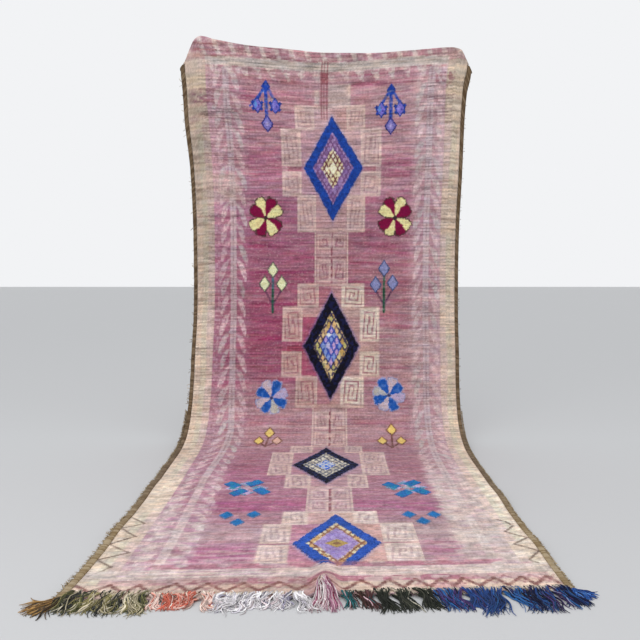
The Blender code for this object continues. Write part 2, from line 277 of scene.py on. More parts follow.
class Side(NamedTuple):
    """Outer edges of the bindings at a stretch of the path."""

    stretch: float
    left: float
    right: float


class TopEdge(NamedTuple):
    """Height of the visible top edge at a place across."""

    across: float
    height: float


class Swell(NamedTuple):
    """Raised place of the floor run: its centre, its reaches and its height."""

    across: float
    run: float
    reach_across: float
    reach_run: float
    height: float


class Belly(NamedTuple):
    """Place where the hanging cloth bellies out, or in when its depth is below zero."""

    across: float
    height: float
    reach_across: float
    reach_height: float
    depth: float


SIDES = (
    Side(0.00, -0.766, 0.768),
    Side(0.45, -0.751, 0.767),
    Side(0.72, -0.748, 0.774),
    Side(1.00, -0.752, 0.782),
    Side(1.50, -0.748, 0.792),
    Side(2.00, -0.728, 0.785),
    Side(2.20, -0.707, 0.774),
    Side(2.50, -0.696, 0.766),
    Side(2.68, -0.704, 0.772),
    Side(2.84, -0.726, 0.776),
    Side(2.93, -0.732, 0.784),
    Side(3.00, -0.740, 0.804),
    Side(4.00, -0.740, 0.804),
    Side(4.20, -0.734, 0.785),
    Side(4.50, -0.728, 0.769),
    Side(5.00, -0.722, 0.763),
)
TOP_EDGE = (
    TopEdge(-0.740, 2.034),
    TopEdge(-0.714, 2.078),
    TopEdge(-0.688, 2.138),
    TopEdge(-0.662, 2.182),
    TopEdge(-0.636, 2.196),
    TopEdge(-0.560, 2.179),
    TopEdge(-0.390, 2.149),
    TopEdge(-0.160, 2.127),
    TopEdge(0.020, 2.112),
    TopEdge(0.260, 2.109),
    TopEdge(0.500, 2.123),
    TopEdge(0.700, 2.138),
    TopEdge(0.746, 2.128),
    TopEdge(0.775, 2.082),
    TopEdge(0.804, 2.020),
)
FLOOR_SWELLS = (
    Swell(0.018, 0.000, 0.055, 0.340, 0.028),
    Swell(-0.766, 0.000, 0.200, 0.240, 0.008),
    Swell(-0.760, 0.560, 0.130, 0.200, 0.009),
    Swell(-0.756, 1.080, 0.120, 0.170, 0.007),
    Swell(0.770, 0.330, 0.130, 0.180, 0.008),
    Swell(0.780, 0.860, 0.140, 0.220, 0.010),
)
HANG_BELLIES = (
    Belly(-0.560, 1.820, 0.260, 0.340, 0.010),
    Belly(0.060, 1.960, 0.380, 0.300, -0.012),
    Belly(0.000, 1.560, 0.900, 0.070, 0.007),
    Belly(-0.700, 1.150, 0.180, 0.380, 0.012),
    Belly(0.770, 1.350, 0.200, 0.420, 0.009),
    Belly(0.100, 0.980, 0.420, 0.360, -0.009),
)


def smooth_table(positions: Sequence[float], values: Sequence[float], at: Array) -> Array:
    """Smooth curve through a table: cubic pieces whose slopes never overshoot it.

    Args:
        positions: The table's rising positions.
        values: Its values.
        at: Positions to read.

    Returns:
        The curve at those positions.
    """
    xs, ys = np.asarray(positions, float), np.asarray(values, float)
    chords = np.diff(ys) / np.diff(xs)
    product = chords[:-1] * chords[1:]
    total = np.where(product > 0.0, chords[:-1] + chords[1:], 1.0)
    inner = np.where(product > 0.0, 2.0 * product / total, 0.0)
    slopes = np.concatenate([chords[:1], inner, chords[-1:]])
    cell = np.clip(np.searchsorted(xs, at, side="right") - 1, 0, len(xs) - 2)
    width = xs[cell + 1] - xs[cell]
    t = np.clip((at - xs[cell]) / width, 0.0, 1.0)
    rise = t * t * (3.0 - 2.0 * t)
    leave, arrive = t * (1.0 - t) ** 2, t * t * (t - 1.0)
    start = ys[cell] * (1.0 - rise) + slopes[cell] * width * leave
    return start + ys[cell + 1] * rise + slopes[cell + 1] * width * arrive


def bell(distance: Array, reach: float) -> Array:
    """Raised cosine: 1 at no distance, 0 with no slope from the reach on."""
    return 0.5 + 0.5 * np.cos(math.pi * np.clip(np.abs(distance) / reach, 0.0, 1.0))


@dataclass
class ClothPath:
    """The rug's path through space, with the sizes of its solid.

    share runs from 0 at the outer left edge to 1 at the outer right edge. stretch counts
    0 to 1 over the floor run, 1 to 2 round the bend, 2 to 3 up the hanging part, 3 to 4
    over the top fold and 4 to 5 down the flap behind.
    """

    thickness: float = 0.010
    binding_width: float = 0.022
    seam_gap: float = 0.0004
    hem_left: float = 2.035
    hem_right: float = 1.952
    lift_off: float = 0.500
    floor_handle: float = 0.370
    upright_handle: float = 0.350
    upright_height: float = 0.400
    lean_start: float = 0.600
    lean_end: float = 2.200
    lean_forward: float = 0.120
    fold_gap: float = 0.003
    end_height: float = 2.300
    flat_width: float = 1.530
    shift: Array = field(default_factory=lambda: np.zeros(3))

    def __post_init__(self) -> None:
        """Measure the length along the cloth once, for the v coordinate."""
        self.ref_stretch = np.linspace(0.0, 5.0, 2501)
        self.ref_share = np.linspace(0.0, 1.0, 61)
        points = self.middle(self.ref_share[None, :], self.ref_stretch[:, None])
        steps = np.linalg.norm(np.diff(points, axis=0), axis=-1)
        arc = np.vstack([np.zeros(len(self.ref_share)), np.cumsum(steps, axis=0)])
        middle = len(self.ref_share) // 2
        upright = int(np.searchsorted(self.ref_stretch, 2.0))
        v = np.repeat(arc[:, middle : middle + 1], len(self.ref_share), axis=1)
        above = arc - arc[upright][None, :] + arc[upright, middle]
        v = np.where(self.ref_stretch[:, None] > 2.0, above, v)
        height = np.where(self.ref_stretch[:, None] > 3.5, 3.0, points[..., 2])
        self.ref_v = v + self.row_sag(self.ref_share[None, :], height)

    def row_sag(self, share: Array, height: Array) -> Array:
        """How far the rows of knots hang lower in the middle of the top than at its sides.

        Args:
            share: Shares of the width, from the left edge.
            height: Heights over the floor.

        Returns:
            Drop of the rows.
        """
        u = (share - 0.5) * self.flat_width
        across = np.cos(0.5 * math.pi * np.clip(np.abs(u) / 0.70, 0.0, 1.0)) ** 2
        return 0.0376 * across * ramp(height, 1.35, 2.00)

    def middle(self, share: Array, stretch: Array) -> Array:
        """Point of the cloth's middle layer, before the shift into the frame.

        The floor run is level but for its swells. The bend is a Bezier curve from level
        to upright. The hanging part leans forward by a soft step and bellies, the fold is
        a half circle square to the slanting top edge, and the flap hangs behind.

        Args:
            share: Shares of the width, from the left edge.
            stretch: Places along the path, as its stretches count.

        Returns:
            Points, with x, y and z last.
        """
        share, stretch = np.broadcast_arrays(np.asarray(share, float), np.asarray(stretch, float))
        turns = [row.stretch for row in SIDES]
        left = smooth_table(turns, [row.left for row in SIDES], stretch)
        right = smooth_table(turns, [row.right for row in SIDES], stretch)
        x = left + (right - left) * share
        half = self.thickness / 2.0

        reach = self.hem_left + (self.hem_right - self.hem_left) * share
        run = (reach - self.lift_off) * np.clip(stretch, 0.0, 1.0)
        floor_z = half + self.floor_lift(x, run)

        t = np.clip(stretch - 1.0, 0.0, 1.0)
        near, far = 3.0 * t * (1.0 - t) ** 2, 3.0 * t * t * (1.0 - t)
        bend_y = -self.lift_off * (1.0 - t) ** 3 - (self.lift_off - self.floor_handle) * near
        bend_z = half + (self.upright_height - self.upright_handle) * far
        bend_z = bend_z + self.upright_height * t**3

        slope, top = self.top_slope(share), self.top_height(share)
        slant = np.sqrt(1.0 + slope**2)
        radius = half + self.fold_gap / 2.0
        hang_top = top - (radius + half) * slant
        base = half + self.upright_height
        hang_z = base + (hang_top - base) * np.clip(stretch - 2.0, 0.0, 1.0)

        turn = math.pi * np.clip(stretch - 3.0, 0.0, 1.0)
        fold_y = -self.hang_depth(x, hang_top) + radius * (1.0 - np.cos(turn))
        fold_z = hang_top + radius / slant * np.sin(turn)
        fold_x = x - radius * slope / slant * np.sin(turn)
        flap_z = hang_top + (hang_top - self.end_height) * np.clip(stretch - 4.0, 0.0, 1.0)
        flap_y = -self.hang_depth(x, flap_z) + 2.0 * radius

        parts = [stretch < 1.0, stretch < 2.0, stretch < 3.0, stretch < 4.0]
        y = np.select(parts, [run - reach, bend_y, -self.hang_depth(x, hang_z), fold_y], flap_y)
        z = np.select(parts, [floor_z, bend_z, hang_z, fold_z], flap_z)
        x = np.where((stretch > 3.0) & (stretch < 4.0), fold_x, x)
        return np.stack([x, y, z], axis=-1)

    def top_height(self, share: Array) -> Array:
        """Height of the visible top edge."""
        across = TOP_EDGE[0].across + (TOP_EDGE[-1].across - TOP_EDGE[0].across) * share
        return smooth_table([p.across for p in TOP_EDGE], [p.height for p in TOP_EDGE], across)

    def top_slope(self, share: Array) -> Array:
        """Slope of the visible top edge.

        Args:
            share: Shares of the width, from the left edge.

        Returns:
            Rise over run.
        """
        span = TOP_EDGE[-1].across - TOP_EDGE[0].across
        step = 0.002 / span
        return (self.top_height(share + step) - self.top_height(share - step)) / 0.004

    def hang_depth(self, across: Array, height: Array) -> Array:
        """Forward reach of the hanging cloth, its lean and its bellies together.

        Args:
            across: Places across, as x before the shift.
            height: Heights over the floor.

        Returns:
            Distance towards the viewer.
        """
        depth = self.lean_forward * ramp(height, self.lean_start, self.lean_end)
        for belly in HANG_BELLIES:
            fade = bell(across - belly.across, belly.reach_across)
            depth = depth + belly.depth * fade * bell(height - belly.height, belly.reach_height)
        return depth

    def floor_lift(self, across: Array, run: Array) -> Array:
        """Height of the cloth's underside over the floor on the floor run.

        Args:
            across: Places across, as x before the shift.
            run: Distances from the hem.

        Returns:
            Heights.
        """
        lift = np.zeros(np.broadcast(across, run).shape)
        for swell in FLOOR_SWELLS:
            fade = bell(across - swell.across, swell.reach_across)
            lift = lift + swell.height * fade * bell(run - swell.run, swell.reach_run)
        return lift

    def frame(self, share: Array, stretch: Array) -> tuple[Array, Array]:
        """Points of the middle layer in the frame, and the unit normals of the pile side.

        Args:
            share: Shares of the width, from the left edge.
            stretch: Places along the path, as its stretches count.

        Returns:
            The points and the normals.
        """
        share, stretch = np.broadcast_arrays(np.asarray(share, float), np.asarray(stretch, float))
        before = np.maximum(stretch - 0.001, 0.0)
        along = self.middle(share, stretch + 0.001) - self.middle(share, before)
        across = self.middle(share + 0.001, stretch) - self.middle(share - 0.001, stretch)
        normal = np.cross(across, along)
        normal /= np.linalg.norm(normal, axis=-1, keepdims=True)
        return self.middle(share, stretch) + self.shift, normal

    def cloth_uv(self, share: Array, stretch: Array) -> tuple[Array, Array]:
        """Coordinates on the flat cloth: v is read from the measured lengths, blended.

        Args:
            share: Shares of the width, from the left edge.
            stretch: Places along the path, as its stretches count.

        Returns:
            u across from the middle and v along from the hem.
        """
        share, stretch = np.broadcast_arrays(np.asarray(share, float), np.asarray(stretch, float))
        a = np.clip(share, 0.0, 1.0) * (len(self.ref_share) - 1)
        b = np.clip(stretch / 5.0, 0.0, 1.0) * (len(self.ref_stretch) - 1)
        i = np.minimum(a.astype(int), len(self.ref_share) - 2)
        j = np.minimum(b.astype(int), len(self.ref_stretch) - 2)
        fa, fb = a - i, b - j
        low = self.ref_v[j, i] * (1.0 - fa) + self.ref_v[j, i + 1] * fa
        high = self.ref_v[j + 1, i] * (1.0 - fa) + self.ref_v[j + 1, i + 1] * fa
        return (share - 0.5) * self.flat_width, low * (1.0 - fb) + high * fb

    def even_rows(self, pitch: float) -> Array:
        """Stretch values of rows that lie one pitch apart along the cloth's middle.

        Args:
            pitch: Spacing of the rows.

        Returns:
            Rising stretch values, with the fold in rows of its own.
        """
        middle = self.ref_v[:, len(self.ref_share) // 2]
        count = int(round(middle[-1] / pitch))
        even = np.interp(np.linspace(0.0, middle[-1], count + 1), middle, self.ref_stretch)
        outside = even[(even < 2.995) | (even > 4.005)]
        return np.sort(np.concatenate([outside, np.linspace(3.0, 4.0, FOLD_ROWS)]))

    def inner_share(self) -> float:
        """Share of the width that the left binding takes."""
        return self.binding_width / (SIDES[0].right - SIDES[0].left)

    def settle(self) -> None:
        """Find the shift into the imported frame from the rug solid's own box."""
        low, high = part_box("rug")
        half = self.thickness / 2.0
        points, normals = self.frame(np.array([self.inner_share()]), np.array([0.0]))
        left = (points[0, 0] + np.array([-half, half]) * normals[0, 0]).min()
        self.shift = np.array([low.x - left, high.y - half, 0.0])


class Canvas:
    """Colours and pile heights of many places on the flat cloth, laid over one another."""

    def __init__(self, u: Array, v: Array) -> None:
        """Start a canvas without colour or pile.

        Args:
            u: Places across the cloth, from its middle.
            v: Places along the cloth, from its hem.
        """
        self.u, self.v = u, v
        self.colour = np.zeros((len(u), 3))
        self.pile = np.zeros(len(u))

    def near(self, u0: float, u1: float, v0: float, v1: float) -> tuple[Array, Array, Array]:
        """Indices, u and v of the places inside a rectangle."""
        at = np.flatnonzero((self.u > u0) & (self.u < u1) & (self.v > v0) & (self.v < v1))
        return at, self.u[at], self.v[at]

    def lay(self, at: Array, mask: Array, colour: Array | str, pile: float = 0.0) -> None:
        """Blend a colour over the places at, by a mask from 0 to 1.

        Args:
            at: Indices of the places.
            mask: How much of the new colour each place takes.
            colour: sRGB hex, or one colour for each place.
            pile: Height that the motif's knots stand over the ground, in metres.
        """
        m = np.clip(np.broadcast_to(mask, len(at)), 0.0, 1.0)
        self.colour[at] = mix(self.colour[at], colour, m)
        self.pile[at] += (pile - self.pile[at]) * m

    def lozenge(
        self, u: float, v: float, half: float, reach: float, colour: str, pile: float = 0.002
    ) -> None:
        """Lay an upright lozenge of a half width and a half length.

        Args:
            u: Its middle across.
            v: Its middle along.
            half: Half its width.
            reach: Half its length.
            colour: sRGB hex.
            pile: Height of its knots over the ground.
        """
        at, us, vs = self.near(u - half, u + half, v - reach, v + reach)
        edge = 1.0 - np.abs(us - u) / half - np.abs(vs - v) / reach
        self.lay(at, edge * half / EDGE, colour, pile)

    def petal(
        self, u: float, v: float, turn: float, size: tuple[float, float, float], colour: str,
        strength: float = 1.0,
    ) -> None:
        """Lay a petal: a blunt wedge, narrow at the flower's centre, with a ragged edge.

        Args:
            u: Flower's centre across.
            v: Flower's centre along.
            turn: Heading of the petal in degrees, from u towards v.
            size: Distance of its middle from the centre, half length and half width.
            colour: sRGB hex.
            strength: Share of the colour that is laid.
        """
        away, half_long, half_wide = size
        reach = away + half_long
        at, us, vs = self.near(u - reach, u + reach, v - reach, v + reach)
        c, s = math.cos(math.radians(turn)), math.sin(math.radians(turn))
        du, dv = us - u, vs - v
        along = (du * c + dv * s - away) / half_long
        side = np.abs(dv * c - du * s) / (half_wide * (0.35 + 0.65 * ramp(along, -1.0, 0.15)))
        room = np.minimum(half_long * (1.0 - np.abs(along)), half_wide * (1.0 - side))
        room = np.minimum(room, half_wide * (1.32 - np.abs(along) - 0.55 * side))
        room = room + 0.009 * (cloud(us / 0.009, vs / 0.009, 76) - 0.5)
        self.lay(at, strength * np.clip(room / EDGE + 0.5, 0.0, 1.0), colour, 0.002)

    def stroke(
        self,
        start: tuple[float, float],
        end: tuple[float, float],
        width: float,
        colour: str,
        strength: float = 1.0,
    ) -> None:
        """Lay a straight, slightly broken stroke, by each place's distance from its line.

        Args:
            start: Its start, across and along.
            end: Its end.
            width: Its width.
            colour: sRGB hex.
            strength: Share of the colour that is laid.
        """
        (u0, v0), (u1, v1) = start, end
        at, us, vs = self.near(
            min(u0, u1) - width, max(u0, u1) + width, min(v0, v1) - width, max(v0, v1) + width
        )
        du, dv = u1 - u0, v1 - v0
        t = np.clip(((us - u0) * du + (vs - v0) * dv) / (du * du + dv * dv), 0.0, 1.0)
        far = np.hypot(us - u0 - du * t, vs - v0 - dv * t)
        broken = 1.0 - 0.45 * ramp(cloud(us / 0.009, vs / 0.009, 17), 0.45, 0.75)
        mask = np.clip((width / 2.0 - far) / EDGE + 0.5, 0.0, 1.0)
        self.lay(at, strength * mask * broken, colour)

    def zigzag(
        self, corners: Sequence[tuple[float, float]], width: float, colour: str, strength: float
    ) -> None:
        """Lay strokes from corner to corner."""
        for start, end in zip(corners, corners[1:]):
            self.stroke(start, end, width, colour, strength)

    def block(
        self, u0: float, u1: float, v0: float, v1: float, colour: str, strength: float = 1.0
    ) -> None:
        """Lay a rectangle with edges as soft as a knot.

        Args:
            u0: Left edge.
            u1: Right edge.
            v0: Near edge.
            v1: Far edge.
            colour: sRGB hex.
            strength: Share of the colour that is laid.
        """
        at, us, vs = self.near(u0 - EDGE, u1 + EDGE, v0 - EDGE, v1 + EDGE)
        inside = np.minimum(np.minimum(us - u0, u1 - us), np.minimum(vs - v0, v1 - vs))
        self.lay(at, strength * np.clip(inside / EDGE + 0.5, 0.0, 1.0), colour)


class Shell:
    """Points, faces, tints and map places of one mesh, gathered part by part."""

    def __init__(self) -> None:
        """Start with no points."""
        self.points: list[Array] = []
        self.corners: list[Array] = []
        self.sizes: list[Array] = []
        self.tints: list[Array] = []
        self.maps: list[Array] = []
        self.count = 0

    def add(self, points: Array, faces: Array, tint: Array, places: Array) -> None:
        """Add points with faces that all have the same number of corners.

        Args:
            points: One row for each point.
            faces: Point numbers, one row for each face.
            tint: sRGB colour of each corner of each face, or one for all.
            places: Place on the map of each corner of each face.
        """
        self.share(faces + self.count, tint, places)
        self.points.append(points.reshape(-1, 3))
        self.count += len(self.points[-1])

    def share(self, faces: Array, tint: Array, places: Array) -> None:
        """Add faces between points that are in the mesh already.

        Args:
            faces: Point numbers, one row for each face.
            tint: sRGB colour of each corner, or one for all.
            places: Place on the map of each corner.
        """
        self.corners.append(faces.reshape(-1))
        self.sizes.append(np.full(len(faces), faces.shape[1]))
        self.tints.append(np.broadcast_to(tint, (*faces.shape, 3)).reshape(-1, 3))
        self.maps.append(np.broadcast_to(places, (*faces.shape, 2)).reshape(-1, 2))

    def piece(self, name: str, finish: WoolFinish) -> bpy.types.Object:
        """Build the mesh, smooth-shaded, riding on the one body.

        Args:
            name: Name of the piece.
            finish: What it is made of.

        Returns:
            The new object, linked into the scene.
        """
        corners, sizes = np.concatenate(self.corners), np.concatenate(self.sizes)
        mesh = bpy.data.meshes.new(name)
        mesh.vertices.add(self.count)
        mesh.vertices.foreach_set("co", np.concatenate(self.points).reshape(-1))
        mesh.loops.add(len(corners))
        mesh.loops.foreach_set("vertex_index", corners.astype(np.int32))
        mesh.polygons.add(len(sizes))
        starts = np.concatenate([[0], np.cumsum(sizes)[:-1]]).astype(np.int32)
        mesh.polygons.foreach_set("loop_start", starts)
        mesh.update(calc_edges=True)
        tint = mesh.attributes.new("tint", "FLOAT_COLOR", "CORNER")
        colours = np.ones((len(corners), 4), np.float32)
        colours[:, :3] = to_linear(np.concatenate(self.tints))
        tint.data.foreach_set("color", colours.reshape(-1))
        layer = mesh.uv_layers.new(name="OFBake")
        layer.data.foreach_set("uv", np.concatenate(self.maps).astype(np.float32).reshape(-1))
        mesh.shade_smooth()
        mesh.validate()
        mesh.materials.append(finish.make())
        obj = bpy.data.objects.new(name, mesh)
        bpy.context.collection.objects.link(obj)
        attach(obj, BODY)
        LOG.info("%s: %d faces", name, len(sizes))
        return obj


def grid_faces(rows: int, columns: int) -> Array:
    """Quads of a grid of points, row after row, one quad a row of the result."""
    first = np.arange(rows - 1)[:, None] * columns + np.arange(columns - 1)[None, :]
    return np.stack([first, first + 1, first + columns + 1, first + columns], -1).reshape(-1, 4)


def ring_faces(count: int, rings: int, sides: int) -> Array:
    """Quads of many tubes: the last point of each ring joins its first one.

    Args:
        count: Number of tubes.
        rings: Rings along each.
        sides: Points round each ring.

    Returns:
        Point numbers, one quad a row.
    """
    tube = np.arange(count)[:, None, None] * rings * sides
    ring = tube + np.arange(rings - 1)[None, :, None] * sides
    here, after = np.arange(sides), (np.arange(sides) + 1) % sides
    quads = [ring + here, ring + after, ring + sides + after, ring + sides + here]
    return np.stack(np.broadcast_arrays(*quads), -1).reshape(-1, 4)


def spread_out(places: Array, spacing: Array) -> Array:
    """Numbers of the places that are kept so that neighbours lie about a spacing apart.

    Args:
        places: Rising places.
        spacing: Wanted spacing at each.

    Returns:
        Numbers of the places that are kept, with both ends.
    """
    kept = [0]
    for i in range(1, len(places) - 1):
        if abs(places[i] - places[kept[-1]]) >= spacing[i]:
            kept.append(i)
    return np.array([*kept, len(places) - 1])


@dataclass
class Sheet:
    """Closed sheet between two distances from the cloth's middle layer.

    Attributes:
        path: The cloth's path.
        columns: Quads across the fine face.
        pitch: Spacing of its rows.
        fine: Distance of the fine face from the middle layer.
        plain: Distance of the other face, which is coarser and hardly shows.
    """

    path: ClothPath
    columns: int
    pitch: float
    fine: float
    plain: float

    def build(self, name: str, finish: WoolFinish, slot: str) -> bpy.types.Object:
        """Build the sheet with the drawing on its fine face.

        The fine face's points are moved along the cloth's normal by the drawing's pile
        height and by noise. Each quad's corners take the drawing's colour a quarter of a
        quad in from the corner, so that the drawing is twice as fine as the mesh.

        Args:
            name: Name of the piece.
            finish: What it is made of.
            slot: Material slot of the record. Not used.

        Returns:
            The new piece.
        """
        outward = 1.0 if self.fine > self.plain else -1.0
        inner = self.path.inner_share()
        rows = self.path.even_rows(self.pitch)
        shares = np.linspace(inner, 1.0 - inner, self.columns + 1)
        points, normals = self.path.frame(shares[None, :], rows[:, None])
        u, v = self.path.cloth_uv(shares[None, :], rows[:, None])
        edge = np.minimum(1.0, 40.0 * np.minimum(shares - inner, 1.0 - inner - shares))
        relief = pile_relief(u, v) * (1.0 if outward > 0.0 else 0.3) * edge
        fine = points + normals * (self.fine + outward * relief)[..., None]
        across, along = self.picks(shares, rows)
        grid = np.ix_(along, across)
        plain = points[grid] + normals[grid] * self.plain
        for layer in (fine, plain):
            layer[..., 2] = np.maximum(layer[..., 2], 0.0)

        shell = Shell()
        ny, nx, my, mx = len(rows), len(shares), len(along), len(across)
        order = slice(None) if outward > 0.0 else slice(None, None, -1)
        back = slice(None, None, -1) if outward > 0.0 else slice(None)
        place = np.stack(np.broadcast_arrays(
            np.linspace(0.0, 0.90, nx)[None, :], (v[:, nx // 2] / v[-1, nx // 2])[:, None]), -1)
        quads = grid_faces(ny, nx)
        tint = self.corner_tints(rows, shares, outward < 0.0)
        shell.add(fine, quads[:, order], tint[:, order], place.reshape(-1, 2)[quads][:, order])
        grey = rgb(BACK_YARN)
        behind = place[grid] * [0.04, 1.0] + [0.91, 0.0]
        quads = grid_faces(my, mx)
        shell.add(plain, quads[:, back], grey, behind.reshape(-1, 2)[quads][:, back])
        face = np.arange(ny * nx).reshape(ny, nx)
        rear = ny * nx + np.arange(my * mx).reshape(my, mx)
        edges = (
            (face[0], rear[0], across, 0.95, False),
            (face[-1], rear[-1], across, 0.96, True),
            (face[:, 0], rear[:, 0], along, 0.97, True),
            (face[:, -1], rear[:, -1], along, 0.98, False),
        )
        for fine_row, plain_row, picks, at, flip in edges:
            self.seam(shell, fine_row, plain_row, picks, at, flip == (outward > 0.0), grey)
        return shell.piece(name, finish)

    def picks(self, shares: Array, rows: Array) -> tuple[Array, Array]:
        """Columns and rows that the plain face keeps: many at the pleat, corners and fold.

        Args:
            shares: Columns of the fine face.
            rows: Its rows.

        Returns:
            Numbers of the columns and of the rows.
        """
        x = self.path.middle(shares, np.zeros(1))[:, 0]
        pleat = np.abs(x - FLOOR_SWELLS[0].across) < FLOOR_SWELLS[0].reach_across + 0.02
        corner = np.minimum(x - x[0], x[-1] - x) < 0.14
        across = spread_out(x, np.where(pleat, 0.016, np.where(corner, 0.024, 0.10)))
        v = np.interp(rows, self.path.ref_stretch, self.path.ref_v[:, 30])
        fold = (rows > 2.96) & (rows < 4.04)
        return across, spread_out(v, np.where(fold, 0.0, 0.033))

    def corner_tints(self, rows: Array, shares: Array, worn: bool) -> Array:
        """Colour of each corner of each fine quad, a quarter of the quad in from it.

        Args:
            rows: Rows of the fine face.
            shares: Its columns.
            worn: Whether it is the back.

        Returns:
            Colours, face by corner.
        """
        r = np.arange(len(rows))
        inside = np.stack([r[:-1] + 0.25, r[:-1] + 0.75], -1).reshape(-1)
        stretch = np.interp(inside, r, rows)
        c = np.arange(len(shares))
        across = np.interp(np.stack([c[:-1] + 0.25, c[:-1] + 0.75], -1).reshape(-1), c, shares)
        u, v = self.path.cloth_uv(across[None, :], stretch[:, None])
        colour = cloth_colour(u, v, worn)
        block = colour.reshape(len(rows) - 1, 2, len(shares) - 1, 2, 3)
        corners = [block[:, 0, :, 0], block[:, 0, :, 1], block[:, 1, :, 1], block[:, 1, :, 0]]
        return np.stack(corners, 2).reshape(-1, 4, 3)

    def seam(self, shell: Shell, fine: Array, plain: Array, picks: Array, at: float,
             flip: bool, tint: Array) -> None:
        """Join an edge of the fine face to the same edge of the plain one by triangles.

        Every fine edge reaches to the nearest plain point, and one more triangle closes
        the gap between each two plain points.

        Args:
            shell: Shell that takes the triangles.
            fine: Point numbers along the fine edge.
            plain: Point numbers along the plain edge.
            picks: Which fine points the plain ones lie under.
            at: Place of the seam on the map.
            flip: Whether the triangles turn round.
            tint: sRGB colour.
        """
        n, m = len(fine), len(plain)
        nearest = np.searchsorted(0.5 * (picks[:-1] + picks[1:]), np.arange(n - 1) + 0.5)
        switch = np.searchsorted(nearest, np.arange(1, m))
        fans = np.stack([fine[:-1], plain[nearest], fine[1:]], -1)
        gaps = np.stack([fine[switch], plain[:-1], plain[1:]], -1)
        strip = np.stack([np.full(n, at), np.arange(n) / (n - 1.0)], -1)
        far = strip[picks] + [0.005, 0.0]
        fan_map = np.stack([strip[:-1], far[nearest], strip[1:]], 1)
        gap_map = np.stack([strip[switch], far[:-1], far[1:]], 1)
        order = slice(None, None, -1) if flip else slice(None)
        shell.share(fans[:, order], tint, fan_map[:, order])
        shell.share(gaps[:, order], tint, gap_map[:, order])


